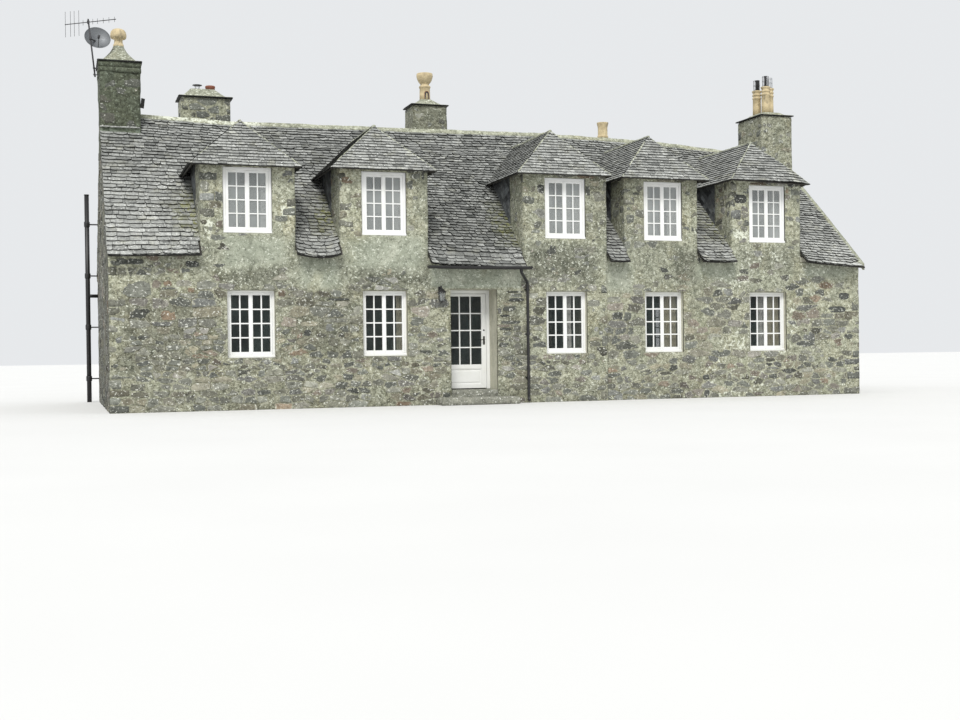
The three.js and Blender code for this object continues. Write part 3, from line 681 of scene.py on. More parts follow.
def z_rear(x, y, sweep=True):
    x, y = np.broadcast_arrays(np.asarray(x, float), np.asarray(y, float))
    r = np.interp(LENGTH - x, RX, RZ)
    s = (y + .25) / 3.65
    z = REAR_EAVE + (r - REAR_EAVE) * s + .012 * np.sin(np.clip(s, 0, 1) * math.pi)
    z = z + .018 * (fbm(x * .9 + 40, y * .9, 5, 2) - .5)
    return swept(z, x, y, REAR_DORMERS, REAR_SWEEP) if sweep else z


UPN = np.array([0, -.665, .747])


def dormer_gap(d, z):
    """Where a dormer interrupts the main slope at height z."""
    x0, x1, e0, e1, ze, zp = d
    if z >= zp - .02:
        return None
    if z < ze - .02:
        return (x0, x1)
    t = (z - ze) / (zp - ze)
    xc = (e0 + e1) / 2
    a, b = e0 + (xc - e0) * t + .10, e1 - (e1 - xc) * t - .10
    return (a, b) if b - a > .05 else None


def runs(x_lo, x_hi, gaps):
    out, x = [], x_lo
    for a, b in sorted(gaps):
        if a > x:
            out.append((x, a))
        x = max(x, b)
    if x < x_hi:
        out.append((x, x_hi))
    return [(a, b) for a, b in out if b - a > .04]


TOP6 = [(0, 1, 2, 3, 4, 5), (11, 10, 9, 8, 7, 6)] + [(i, i + 6, (i + 1) % 6 + 6, (i + 1) % 6) for i in range(6)]


def course_table(bays, gauge_top=.100, join=2.86, top=3.33):
    """Course lines of each bay: its own below the join, shared above it."""
    out, xa = [], -.02
    for x_end, g0, g1, width in bays:
        n = max(4, int(round((join + .25) / ((g0 + g1) / 2 * .737))))
        w = g0 + (g1 - g0) * np.arange(n) / n
        ys = -.25 + (join + .25) * np.concatenate([[0], np.cumsum(w)[:-1]]) / w.sum()
        out.append((xa, x_end, ys, np.append(ys[1:], join) - ys, width))
        xa = x_end
    n = int(round((top - join) / (gauge_top * .737)))
    ys = join + (top - join) * np.arange(n) / n
    out.append((-.02, LENGTH + .02, ys, np.full(n, (top - join) / n), .18))
    return out


def main_slates(m, zf, dormers, stacks, seed, shade, moss_at, bays, x_lo, x_hi, eave_back):
    rng = np.random.default_rng(seed)
    X, Y, LT, TH, T = [], [], [], [], []
    for bay, (bx0, bx1, ys, dys, width) in enumerate(course_table(bays)):
        for row, (y, dy) in enumerate(zip(ys, dys)):
            if bay == len(bays):
                row += 50
            ym = y + dy * .5
            gaps = []
            for d in dormers:
                if d[1] < bx0 - .2 or d[0] > bx1 + .2:
                    continue
                g = dormer_gap(d, float(zf((d[0] + d[1]) / 2, ym, False)))
                if g:
                    gaps.append((g[0] - (.045 if y < -.02 else 0), g[1]))
            for a, b, y0, y1 in stacks:
                if y0 < ym < y1:
                    gaps.append((a, b))
            layers = 2 if row == 0 else 1
            lo_ = x_lo - rng.uniform(0, .012) if bx0 <= 0 else bx0
            hi_ = x_hi + rng.uniform(0, .010) if bx1 >= LENGTH else bx1
            for layer in range(layers):
                for xa, xb in runs(lo_, hi_, gaps):
                    x = xa
                    first = True
                    while x < xb - .02:
                        w = float(np.clip(rng.normal(width, width * .27), width * .5, width * 1.75))
                        if first:
                            w *= rng.uniform(.45, 1.0)
                            first = False
                        x2 = x + w
                        if xb - x2 < width * .38:
                            x2 = xb
                        g = rng.uniform(.001, .005)
                        yt = y + (vnoise(x * 1.7, row * .37, seed) - .5) * .016 + rng.normal(0, .0040) + eave_back(x) * (y < 0)
                        yh = y + dy * 1.95
                        ww = x2 - x
                        rag = rng.normal(0, .0035, 4)
                        chip = rng.random(2)
                        c0 = .016 if chip[0] < .18 else .003
                        c1 = .016 if chip[1] < .18 else .003
                        X.append([x + g + c0 * .5, x + ww * .30, x + ww * .68, x2 - g - c1 * .5, x2 - g, x + g])
                        Y.append([yt + c0 + abs(rag[0]), yt + rag[1], yt + rag[2], yt + c1 + abs(rag[3]), min(yh, 3.46), min(yh, 3.46)])
                        th = rng.uniform(.018, .027) + (.004 if row < 2 else 0)
                        lift = .033 + rng.normal(0, .004) + (.004 if row < 2 else 0) - .020 * layer
                        roll = rng.normal(0, .0022)
                        LT.append([lift - roll, lift - roll * .4, lift + roll * .4, lift + roll, -.012 + roll, -.012 - roll])
                        TH.append(th)
                        xm = (x + x2) / 2
                        mean, li = shade(xm, y)
                        tone = np.clip(rng.normal(mean + .07, .15) + (vnoise(xm * .8, y * 1.1, seed + 3) - .5) * .14, .0, 1.25)
                        lich = np.clip(rng.normal(li, .25) + 1.0 * (vnoise(xm * .45, y * .7, seed + 9) - .5), 0, 1.2)
                        T.append([tone, lich, moss_at(xm, y, rng), rng.random()])
                        x = x2
    X, Y, LT, TH = (np.array(v) for v in (X, Y, LT, TH))
    P = np.stack([X, Y, zf(X, Y)], -1)
    top = P + UPN * LT[..., None]
    bot = P + UPN * (LT - TH[:, None])[..., None]
    # undersides and edges take the near-black edge material, painted shade between the courses
    m.bulk(np.concatenate([top, bot], 1), TOP6, np.array(T), [0] + [2] * 7)


def grid_lines(a, b, step, edges=()):
    pts = sorted({round(v, 5) for v in [a, b, *edges] if a - 1e-6 <= v <= b + 1e-6})
    out = [pts[0]]
    for p, q in zip(pts, pts[1:]):
        n = max(1, int(round((q - p) / step)))
        out += [p + (q - p) * (i + 1) / n for i in range(n)]
    return np.array(out)


def shell_grid(m, xs, ys, keep, top, bottom, tint, mat=0):
    """A closed plank over the kept cells of a grid."""
    nx, ny = len(xs), len(ys)
    XX, YY = np.meshgrid(xs, ys, indexing="ij")
    VT = np.stack([XX, YY, top(XX, YY)], -1).reshape(-1, 3)
    VB = np.stack([XX, YY, bottom(XX, YY)], -1).reshape(-1, 3)
    n = nx * ny
    F, used = [], set()
    at = lambda i, j: i * ny + j
    for i in range(nx - 1):
        for j in range(ny - 1):
            if not keep[i, j]:
                continue
            q = (at(i, j), at(i + 1, j), at(i + 1, j + 1), at(i, j + 1))
            F.append(q)
            F.append(tuple(v + n for v in reversed(q)))
            for (a, b), (di, dj) in (((q[0], q[1]), (0, -1)), ((q[1], q[2]), (1, 0)), ((q[2], q[3]), (0, 1)), ((q[3], q[0]), (-1, 0))):
                ii, jj = i + di, j + dj
                if not (0 <= ii < nx - 1 and 0 <= jj < ny - 1 and keep[ii, jj]):
                    F.append((b, a, a + n, b + n))
            used.update(q)
    u = np.array(sorted(used))
    remap = -np.ones(2 * n, int)
    remap[u] = np.arange(len(u))
    remap[u + n] = np.arange(len(u)) + len(u)
    V = np.concatenate([VT[u], VB[u]])
    m.add(V, [tuple(remap[list(f)]) for f in F], tint, mat, check=False)


def boarding(m, zf, dormers, stacks):
    holes = [(d[0], d[1], -1, 1.6) for d in dormers] + stacks
    xs = grid_lines(0.0, LENGTH, .22, [v for h in holes for v in h[:2]])
    ys = grid_lines(-.20, 3.38, .3, [v for h in holes for v in h[2:]])
    cx, cy = (xs[1:] + xs[:-1]) / 2, (ys[1:] + ys[:-1]) / 2
    keep = np.ones((len(cx), len(cy)), bool)
    for a, b, c, d in holes:
        keep &= ~(((cx > a) & (cx < b))[:, None] & ((cy > c) & (cy < d))[None, :])
    # the boarding is near-black, painted shade beneath the slates
    shell_grid(m, xs, ys, keep, lambda x, y: zf(x, y) - .034, lambda x, y: zf(x, y) - .062, (.3, .3, 0, .5), 1)


# ---------------------------------------------------------------- flat slated faces
def clip_poly(poly, nx, ny, c):
    out = []
    n = len(poly)
    for i in range(n):
        p, q = poly[i], poly[(i + 1) % n]
        a, b = nx * p[0] + ny * p[1] - c, nx * q[0] + ny * q[1] - c
        if a <= 0:
            out.append(p)
        if (a < 0 < b) or (b < 0 < a):
            t = a / (a - b)
            out.append((p[0] + t * (q[0] - p[0]), p[1] + t * (q[1] - p[1])))
    return out


def convex_edges(poly):
    """Half-planes of a counter-clockwise convex polygon."""
    E = []
    for (x0, y0), (x1, y1) in zip(poly, poly[1:] + poly[:1]):
        nx, ny = (y1 - y0), -(x1 - x0)
        l = math.hypot(nx, ny)
        if l > 1e-9:
            E.append((nx / l, ny / l, (nx * x0 + ny * y0) / l))
    return E


def prism(m, top, bot, tint, mat=0, edge=None):
    k = len(top)
    F = [tuple(range(k)), tuple(range(2 * k - 1, k - 1, -1))]
    F += [(i, i + k, (i + 1) % k + k, (i + 1) % k) for i in range(k)]
    m.add(np.concatenate([top, bot]), F, tint, mat if edge is None else [mat] + [edge] * (k + 1))


def face_slates(m, O, U, W, Nn, poly, gauge, width, seed, lifts=(.029, -.010), thick=(.016, .024), mat=0, edge=4,
                tone=(.60, .16), lich=(.55, .25), moss=0.0, over=.03):
    rng = np.random.default_rng(seed)
    O, U, W, Nn = (np.asarray(v, float) for v in (O, U, W, Nn))
    us, ws = [p[0] for p in poly], [p[1] for p in poly]
    # the lowest course hangs over the edge
    E = [e for e in convex_edges(poly) if not (e[1] < -.98)]
    w, row = min(ws) - over, 0
    while w < max(ws) - .02:
        u = min(us) - rng.uniform(0, width)
        while u < max(us):
            wd = float(np.clip(rng.normal(width, width * .26), width * .5, width * 1.7))
            g = rng.uniform(.001, .004)
            wt = w + rng.normal(0, .004)
            head = wt + gauge * 1.9
            r = rng.normal(0, .0035, 2)
            pts = [(u + g, wt + abs(r[0])), (u + wd * .35, wt + r[0]), (u + wd * .7, wt + r[1]), (u + wd - g, wt + abs(r[1])), (u + wd - g, head), (u + g, head)]
            u += wd
            for nx, ny, c in E:
                pts = clip_poly(pts, nx, ny, c)
                if len(pts) < 3:
                    break
            if len(pts) < 3:
                continue
            a = np.array(pts)
            if a[:, 0].ptp() < .025 if hasattr(a[:, 0], "ptp") else (a[:, 0].max() - a[:, 0].min()) < .025:
                continue
            s = (a[:, 1] - wt) / (gauge * 1.9)
            lift = lifts[0] + (lifts[1] - lifts[0]) * s + rng.normal(0, .002) + (.005 if row == 0 else 0)
            th = rng.uniform(*thick) + (.005 if row == 0 else 0)
            base = O + a[:, :1] * U + a[:, 1:] * W
            t = [np.clip(rng.normal(*tone), .02, 1.1), np.clip(rng.normal(*lich), 0, 1.2), moss * rng.random(), rng.random()]
            # side faces take the edge material; on the hips it is the near-black slate edge, painted shade between the
            # courses
            prism(m, base + lift[:, None] * Nn, base + (lift - th)[:, None] * Nn, t, mat, edge)
        w += gauge
        row += 1


def fillet(m, P0, P1, r, seed, mat, seg=.07, flat=.55, tint=(.35, .15, .25, .5)):
    P0, P1 = np.asarray(P0, float), np.asarray(P1, float)
    n = max(3, int(np.linalg.norm(P1 - P0) / seg))
    t = np.linspace(0, 1, n + 1)
    pts = P0 + (P1 - P0) * t[:, None]
    pts[:, 2] += (vnoise(t * n * .35, 0 * t, seed) - .5) * .012
    rr = r * (.82 + .42 * vnoise(t * n * .5, 0 * t + 4, seed + 1))
    m.tube(pts, rr, 8, tint, mat, flat)


def dormer_roof(m, d, zf, seed, moss=0.0):
    x0, x1, e0, e1, ze, zp = d
    xc, py = (e0 + e1) / 2, .62
    yv = lambda z: float(np.interp(z, [zf(xc, v, False) for v in (-.25, 3.4)], [-.25, 3.4]))
    # front hip
    Lf = e1 - e0
    H = math.hypot(py + .2, zp - ze)
    face_slates(m, (e0, -.2, ze), (1, 0, 0), (0, (py + .2) / H, (zp - ze) / H), (0, -(zp - ze) / H, (py + .2) / H),
                [(0, 0), (Lf, 0), (Lf / 2, H)], .083, .165, seed, moss=moss)
    planks = []
    hw = (e1 - e0) / 2
    S = math.hypot(hw, zp - ze)
    yr, y0v = min(yv(zp) + .12, 3.3), yv(ze) + .12
    for side in (0, 1):
        ex, sg = (e0, -1) if side == 0 else (e1, 1)
        U = (0, -1, 0) if side == 0 else (0, 1, 0)
        W = ((xc - ex) / S, 0, (zp - ze) / S)
        Nn = (-(zp - ze) / S, 0, hw / S) if side == 0 else ((zp - ze) / S, 0, hw / S)
        if side == 0:
            poly = [(-y0v, 0), (.2, 0), (-py, S), (-yr, S)]
        else:
            poly = [(-.2, 0), (y0v, 0), (yr, S), (py, S)]
        face_slates(m, (ex, 0, ze), U, W, Nn, poly, .088, .165, seed + 1 + side, moss=moss)
        planks.append((np.array((ex, 0, ze)), np.array(U, float), np.array(W), np.array(Nn), poly))
    planks.append((np.array((e0, -.2, ze)), np.array((1., 0, 0)), np.array((0, (py + .2) / H, (zp - ze) / H)),
                   np.array((0, -(zp - ze) / H, (py + .2) / H)), [(0, 0), (Lf, 0), (Lf / 2, H)]))
    # boards under the dormer slates, near-black as painted shade
    for O, U, W, Nn, poly in planks:
        a = np.array(poly, float)
        c = a.mean(0)
        a = c + (a - c) * .985
        base = O + a[:, :1] * U + a[:, 1:] * W
        prism(m, base - .014 * Nn, base - .040 * Nn, (.3, .3, 0, .5), 1)
    # cheeks: a timber-framed wall hung with slates, behind the stone returns
    sl = (zp - ze) / hw
    for side in (0, 1):
        xo = x0 if side == 0 else x1
        sg = 1 if side == 0 else -1
        over = abs(xo - (e0 if side == 0 else e1))
        zs = ze + over * sl - .05
        xa, xb = xo + sg * .010, xo + sg * .105
        ya = WALL - .02
        yb = yv(zs) + .05
        z_low = float(zf(xo, WALL, False)) - .10
        prof = [(ya, z_low), (ya, zs), (yb, zs), (yb, zs - .06)]
        top = np.array([(xa, y, z) for y, z in prof])
        bot = np.array([(xb, y, z) for y, z in prof])
        # the framing takes the near-black boarding material, painted shade
        prism(m, top, bot, (.3, .3, 0, .5), 1)
        zl = float(zf(xo, WALL, False)) - .02
        pitch = math.atan2(float(zf(xo, 2.0, False)) - float(zf(xo, WALL, False)), 2.0 - WALL)
        cp, sp = math.cos(pitch), math.sin(pitch)
        tri = [(WALL, zl), (WALL, zs), (yv(zs) + .06, zs)]
        if side == 0:
            U, Wd, Nn = (0, -cp, -sp), (0, -sp, cp), (-1, 0, 0)
            poly = [(-y * cp - z * sp, -y * sp + z * cp) for y, z in tri]
        else:
            U, Wd, Nn = (0, cp, sp), (0, -sp, cp), (1, 0, 0)
            poly = [(y * cp + z * sp, -y * sp + z * cp) for y, z in tri]
        ccw = sum((p[0] * q[1] - q[0] * p[1]) for p, q in zip(poly, poly[1:] + poly[:1]))
        if ccw < 0:
            poly = poly[::-1]
        face_slates(m, (xo, 0, 0), U, Wd, Nn, poly, .098, .17, seed + 5 + side, lifts=(.016, -.004),
                    thick=(.007, .011), mat=3, edge=5, tone=(.40, .22), lich=(.15, .15), over=0)
    # broken mortar along the hips and the short ridge
    k = .016
    hip(m, (e0 - .005, -.205, ze + .010), (xc, py, zp + k), .015, seed + 20, .55 if seed == 100 else .12)
    hip(m, (e1 + .005, -.205, ze + .010), (xc, py, zp + k), .016, seed + 21, .12)
    hip(m, (xc, py - .02, zp + k), (xc, yv(zp) + .05, zp + k), .030, seed + 22, .0)


def hip(m, P0, P1, r, seed, missing):
    """Short lengths of pale mortar with gaps between them."""
    rng = np.random.default_rng(seed)
    P0, P1 = np.asarray(P0, float), np.asarray(P1, float)
    L = np.linalg.norm(P1 - P0)
    t = 0.0
    while t < L:
        l = rng.uniform(.10, .34)
        e = min(t + l, L)
        if e - t > .05 and rng.random() > missing:
            fillet(m, P0 + (P1 - P0) * t / L, P0 + (P1 - P0) * e / L, r * rng.uniform(.8, 1.2), int(rng.integers(9999)), 2,
                   seg=.045, flat=.7, tint=(.0, .55, .0, rng.uniform(.1, .7)))
        if e >= L:
            break
        t = e + (rng.uniform(.0, .05) if missing else -.02)


# ---------------------------------------------------------------- rubble masonry
class Face:
    """A plane of wall: u along it, v up, h out of it."""

    def __init__(self, O, U, Nn):
        self.O, self.U, self.N = (np.asarray(v, float) for v in (O, U, Nn))

    def at(self, u, v, h):
        u, v, h = (np.asarray(a, float) for a in (u, v, h))
        p = self.O + u[..., None] * self.U + h[..., None] * self.N
        p[..., 2] += v
        return p


def stone(m, face, poly, p, hue, val, lich, rng, rough=.0065, mat=0, smear=1.0):
    """A split stone: broken outline, low flat face, rims that run into the mortar."""
    a = np.array(poly, float)
    nx = np.roll(a, -1, 0)
    f = rng.uniform(.40, .60, (len(a), 1))
    a = np.stack([a, a * (1 - f) + nx * f], 1).reshape(-1, 2)
    c = a.mean(0)
    k = len(a)
    size = math.sqrt(abs(np.sum(a[:, 0] * np.roll(a[:, 1], -1) - np.roll(a[:, 0], -1) * a[:, 1])) / 2)
    d = a - c
    l = np.linalg.norm(d, axis=1, keepdims=True)
    # corners are knocked back more than the middles of the edges
    knock = np.where(np.arange(k)[:, None] % 2 == 0, rng.uniform(-.003, .007, (k, 1)), 0) + rng.normal(0, rough, (k, 1))
    a = c + d * (1 - np.clip(knock / np.maximum(l, .03), -.1, .35))
    e = min(.006 / max(size, .05), .12)
    tilt = rng.normal(0, .035, 2)
    r1 = c + (a - c) * (1 - e)
    r2 = c + (a - c) * (.60 + .12 * rng.random())
    h1 = p - .0035 + ((r1 - c) @ tilt) + rng.normal(0, .0010, k)
    h2 = p + ((r2 - c) @ tilt) + rng.normal(0, .0022, k)
    V = np.concatenate([face.at(a[:, 0], a[:, 1], np.full(k, -.03)), face.at(r1[:, 0], r1[:, 1], h1),
                        face.at(r2[:, 0], r2[:, 1], h2), face.at(c[0], c[1], p + rng.normal(0, .002))[None]])
    F = []
    for i in range(k):
        j = (i + 1) % k
        F.append((i, j, k + j, k + i))
        F.append((k + i, k + j, 2 * k + j, 2 * k + i))
        F.append((2 * k + i, 2 * k + j, 3 * k))
    F.append(tuple(range(k - 1, -1, -1)))
    T = np.zeros((3 * k + 1, 4))
    T[:, 0], T[:, 1], T[:, 2] = hue, val, lich
    T[:2 * k, 3] = smear
    T[2 * k:3 * k, 3] = .42 * smear
    m.add(V, F, T, mat, smooth=False)


def rubble(m, face, u0, u1, v0, v1, holes, zone, seed, lines=(), size=.19, joint=.0085, step=.03, vtop=None,
           edges=(), proud=(.006, .017), hues=None, mortar=1, flat_holes=(), features=(), mat=0, omit=.10, smear=1.0):
    """Random rubble over part of a plane: separate stones in a bed of mortar."""
    rng = np.random.default_rng(seed)
    # seeds in wandering courses
    seeds = []
    v = v0 - .02
    while v < v1 + .1:
        h = rng.uniform(.42, 1.30) * size * .95
        u = u0 - rng.uniform(0, .3)
        while u < u1 + .15:
            w = float(np.clip(h * rng.uniform(1.15, 3.6), .09, .58))
            seeds.append((u + w / 2 + rng.normal(0, .012), v + h / 2 + rng.normal(0, h * .15)))
            if rng.random() < .14:
                seeds.append((u + w + rng.normal(0, .01), v + h * rng.uniform(.0, .3)))
            u += w
        v += h * .98
    S = np.array(seeds)
    K = 2.0
    Q = S * [1, K]
    allh = list(holes) + [f[:4] for f in features]

    def blocked(p, pad=0.0):
        for a, b, c, d in allh:
            if a - pad < p[0] < b + pad and c - pad < p[1] < d + pad:
                return True
        return False

    cellsz = .5
    buckets = {}
    for i, q in enumerate(Q):
        buckets.setdefault((int(q[0] // cellsz), int(q[1] // cellsz)), []).append(i)
    for i, s in enumerate(S):
        if not (u0 < s[0] < u1 and v0 < s[1] < v1) or blocked(s):
            continue
        if any(nx * s[0] + ny * s[1] > c for nx, ny, c in lines):
            continue
        q = Q[i]
        bi, bj = int(q[0] // cellsz), int(q[1] // cellsz)
        near = [j for a in (-1, 0, 1) for b in (-1, 0, 1) for j in buckets.get((bi + a, bj + b), []) if j != i]
        dq = Q[near] - q
        order = np.argsort((dq ** 2).sum(1))[:13]
        poly = [(s[0] - .5, s[1] - .4), (s[0] + .5, s[1] - .4), (s[0] + .5, s[1] + .4), (s[0] - .5, s[1] + .4)]
        jn = joint * rng.uniform(.45, 1.7)
        for o in order:
            d = dq[o]
            # bisector in the stretched plane, written back in the wall's own
            nx, ny = d[0], d[1] * K
            c = (np.dot(Q[near[o]], Q[near[o]]) - np.dot(q, q)) / 2
            l = math.hypot(nx, ny)
            poly = clip_poly(poly, nx / l, ny / l, c / l - jn)
            if len(poly) < 3:
                break
        if len(poly) < 3:
            continue
        poly = clip_poly(poly, -1, 0, -u0 - .002)
        poly = clip_poly(poly, 1, 0, u1 - .002)
        poly = clip_poly(poly, 0, -1, -v0)
        poly = clip_poly(poly, 0, 1, v1)
        for nx, ny, c in lines:
            poly = clip_poly(poly, nx, ny, c - .004)
        for a, b, c, d in allh:
            if len(poly) < 3:
                break
            xs, ys = [p[0] for p in poly], [p[1] for p in poly]
            if max(xs) < a or min(xs) > b or max(ys) < c or min(ys) > d:
                continue
            gaps = [(a - s[0], (1, 0, a - .006)), (s[0] - b, (-1, 0, -b - .006)), (c - s[1], (0, 1, c - .006)), (s[1] - d, (0, -1, -d - .006))]
            g = max(gaps, key=lambda t: t[0])
            poly = clip_poly(poly, *g[1])
        if len(poly) < 3:
            continue
        P = np.array(poly)
        # drop doubled points
        keep = np.linalg.norm(P - np.roll(P, 1, 0), axis=1) > .006
        P = P[keep]
        if len(P) < 3:
            continue
        area = abs(np.sum(P[:, 0] * np.roll(P[:, 1], -1) - np.roll(P[:, 0], -1) * P[:, 1])) / 2
        if area < .0022:
            continue
        cu, cv = P.mean(0)
        zn = zone(cu, cv)
        cov, pale_ = float(zn[0]), float(zn[1])
        p = rng.uniform(*proud)
        surf = float(bed(cu, cv, zone, seed))
        if pale_ > .35 or rng.random() < omit + .30 * cov or p < surf - .002:
            continue
        hue = rng.random() if hues is None else float(rng.choice(hues))
        if hues is None and .90 < hue < .96 and rng.random() < .6:
            hue = .34
        stone(m, face, [tuple(x) for x in P], max(p, surf + .001), hue, np.clip(rng.normal(.5, .24), 0, 1), rng.random(), rng, mat=mat, smear=smear)
    for a, b, c, d, hue, val in features:
        n = 8
        t = (np.arange(n) + .5) / n * 2 * math.pi
        cu, cv, ru, rv = (a + b) / 2, (c + d) / 2, (b - a) / 2 - joint, (d - c) / 2 - joint
        ex = .62
        pu = cu + ru * np.sign(np.cos(t)) * np.abs(np.cos(t)) ** ex
        pv = cv + rv * np.sign(np.sin(t)) * np.abs(np.sin(t)) ** ex
        stone(m, face, list(zip(pu, pv)), max(rng.uniform(.008, .014), float(bed(cu, cv, zone, seed)) + .003), hue, val, 0.0, rng, mat=mat, smear=.25)
    # the mortar bed, open only at its hidden back edge
    ed = [v for h in flat_holes for v in h[:2]] + list(edges)
    us = grid_lines(u0, u1, step, ed)
    vs = grid_lines(v0, v1, step, [v for h in flat_holes for v in h[2:]])
    cu, cv = (us[1:] + us[:-1]) / 2, (vs[1:] + vs[:-1]) / 2
    keep = np.ones((len(cu), len(cv)), bool)
    for a, b, c, d in flat_holes:
        keep &= ~(((cu > a) & (cu < b))[:, None] & ((cv > c) & (cv < d))[None, :])
    UU, VV = np.meshgrid(us, vs, indexing="ij")
    if vtop is not None:
        VV = v0 + (VV - v0) * ((vtop(UU) - v0) / (v1 - v0))
    H = bed(UU, VV, zone, seed)
    for a, b, c, d in flat_holes:
        dist = np.maximum(np.maximum(a - UU, UU - b), np.maximum(c - VV, VV - d))
        H = .003 + (H - .003) * ss(0, .05, np.abs(dist))
    P = face.at(UU, VV, H).reshape(-1, 3)
    Z = np.stack([np.broadcast_to(z, UU.shape) for z in zone(UU, VV)], -1).reshape(-1, 4)
    nu, nv = len(us), len(vs)
    I = np.arange(nu * nv).reshape(nu, nv)
    sel = np.nonzero(keep)
    q = np.stack([I[sel], I[sel[0] + 1, sel[1]], I[sel[0] + 1, sel[1] + 1], I[sel[0], sel[1] + 1]], 1)
    # turned-in rim
    back = face.at(UU, VV, np.full(UU.shape, -.03)).reshape(-1, 3)
    K2 = np.zeros((nu + 1, nv + 1), bool)
    K2[1:-1, 1:-1] = keep
    rim = []
    for di, dj, (c0, c1) in ((0, -1, (0, 1)), (1, 0, (1, 2)), (0, 1, (2, 3)), (-1, 0, (3, 0))):
        nb = K2[1 + di:nu + di, 1 + dj:nv + dj][sel]
        e = q[~nb]
        rim.append(np.stack([e[:, c1], e[:, c0], e[:, c0] + nu * nv, e[:, c1] + nu * nv], 1))
    rim = np.concatenate(rim)
    F = np.concatenate([q, rim])
    allV = np.concatenate([P, back])
    allT = np.concatenate([Z, Z])
    u = np.unique(F)
    remap = np.zeros(len(allV), int)
    remap[u] = np.arange(len(u))
    F = remap[F]
    m.V.append(allV[u]); m.A.append(allT[u])
    m.L.append((F + m.n).ravel()); m.C.append(np.full(len(F), 4)); m.M.append(np.full(len(F), mortar)); m.S.append(np.full(len(F), True))
    m.n += len(u)


def bed(u, v, zone, seed):
    """Height of the mortar surface over the wall plane."""
    cover, pale = zone(u, v)[:2]
    n = fbm(np.asarray(u) * 5.2, np.asarray(v) * 5.2, seed + 50, 3) - .5
    h = .001 + cover * .013 + np.clip(pale - .5, 0, 1) * .010 + n * (.014 + .004 * cover) * (1 - .6 * np.clip(pale, 0, 1))
    return np.maximum(h, .0016 + .0012 * n)


def quoins(m, cx, cy, sx, sy, z0, z1, seed, long=.36, short=.19, h=(.12, .24), p=.006, mat=0, keep=.82):
    """Corner stones; returns what each takes of the two faces: (z0, z1, along x, along y)."""
    rng = np.random.default_rng(seed)
    z, out, flip = z0, [], rng.random() < .5
    while z < z1 - .05:
        hh = min(rng.uniform(*h), z1 - z)
        if z1 - z - hh < .08:
            hh = z1 - z
        lx = (long if flip else short) * rng.uniform(.8, 1.25)
        ly = (short if flip else long) * rng.uniform(.8, 1.25)
        flip = not flip
        pp = p * rng.uniform(.5, 1.3)
        xa, xb = sorted((cx - sx * pp, cx + sx * (lx - .010)))
        ya, yb = sorted((cy - sy * pp, cy + sy * (ly - .010)))
        if rng.random() < keep:
            block(m, (xa, ya, z + .010), (xb, yb, z + hh - .010), (4, 4, 3), .010, .009, int(rng.integers(1e6)),
                  (float(rng.choice([.08, .14, .22, .34, .42, .52, .62, .80])), np.clip(rng.normal(.5, .2), 0, 1), rng.random(), rng.uniform(.2, .5)), mat)
        out.append((z, z + hh, lx, ly))
        z += hh
    return out


# ---- how the mortar and the thin old render lie on the front: cover, pale, dark
def soft_box(x, z, a, b, c, d, s=.12, n=0.0):
    return ss(a - s, a + s, x + n) * (1 - ss(b - s, b + s, x + n)) * ss(c - s, c + s, z + n) * (1 - ss(d - s, d + s, z + n))


PALE = [(3.55, 4.35, 2.32, 2.95), (4.55, 6.05, 2.75, 3.38), (10.12, 10.75, 2.32, 2.95),
        (12.2, 13.2, 2.55, 2.95), (14.95, 16.2, 2.62, 2.9), (2.1, 3.3, 2.75, 3.36)]
# boxes where the front is drawn darker
DARK = [(.1, 2.0, .6, 2.3), (3.3, 4.75, .9, 2.35), (4.7, 6.0, 2.3, 3.0), (7.66, 8.25, .6, 2.36), (1.9, 3.3, 2.30, 2.75), (5.0, 6.4, 2.3, 2.75), (8.3, 10.0, 2.4, 3.35), (13.2, 14.7, 2.5, 3.35), (11.6, 12.4, 2.4, 3.3), (3.2, 3.9, 1.5, 2.4)]
WHITE = [(1.72, 1.94, 3.48, 3.64), (1.71, 1.90, 3.34, 3.43), (3.22, 3.46, 3.72, 4.06), (13.14, 13.54, 3.46, 3.67)]


def front_zone(x, z):
    """Cover, pale render, darker zones and white crust over the front."""
    x, z = np.broadcast_arrays(np.asarray(x, float), np.asarray(z, float))
    n = (fbm(x * 1.1, z * 1.1, 71, 3) - .5)
    n2 = fbm(x * 2.6, z * 2.6, 72, 3)
    low = 2.40 + .22 * ss(14.6, 15.2, x) + .25 * n
    cover = ss(-.10, .12, z - low) * (1 - ss(3.22, 3.62, z + .35 * n)) * ss(1.35, 1.95, x + .5 * n)
    patch = ss(.50, .68, n2)
    cover = np.maximum(cover, patch * (.75 - .25 * (z < 1.0)))
    cover = np.maximum(cover, .55 * ss(.42, .62, n2) * (z > 3.4))
    pale = np.zeros_like(x)
    for a, b, c, d in PALE:
        pale = np.maximum(pale, .9 * soft_box(x, z, a, b, c, d, .14, .22 * n))
    # the smooth band over the doorway, with a wavy lower edge
    wav = .05 * (vnoise(x * 3.2, 0 * x, 75) - .5)
    band = ss(6.15, 6.30, x) * (1 - ss(8.05, 8.22, x)) * ss(2.345, 2.375, z + wav) * (1 - ss(2.74, 2.86, z))
    pale = np.maximum(pale, 1.5 * band)
    cover = np.maximum(cover, np.clip(pale, 0, 1))
    dark = np.full(x.shape, .42) + .60 * (vnoise(x * .8, z * .8, 73) - .5)
    for a, b, c, d in DARK:
        dark = np.maximum(dark, .95 * soft_box(x, z, a, b, c, d, .25, .4 * n))
    dark = np.maximum(dark, .7 * (1 - ss(.1, .9, z)))
    dark = dark * (1 - .75 * np.clip(pale, 0, 1)) * (1 - .35 * ss(12.2, 12.6, x))
    white = (.34 + .30 * ss(12.2, 12.6, x)) * ss(.46, .64, fbm(x * 1.7, z * 1.7, 76, 2))
    for a, b, c, d in WHITE:
        white = np.maximum(white, soft_box(x, z, a, b, c, d, .05, .06 * n))
    return cover, pale, dark, white


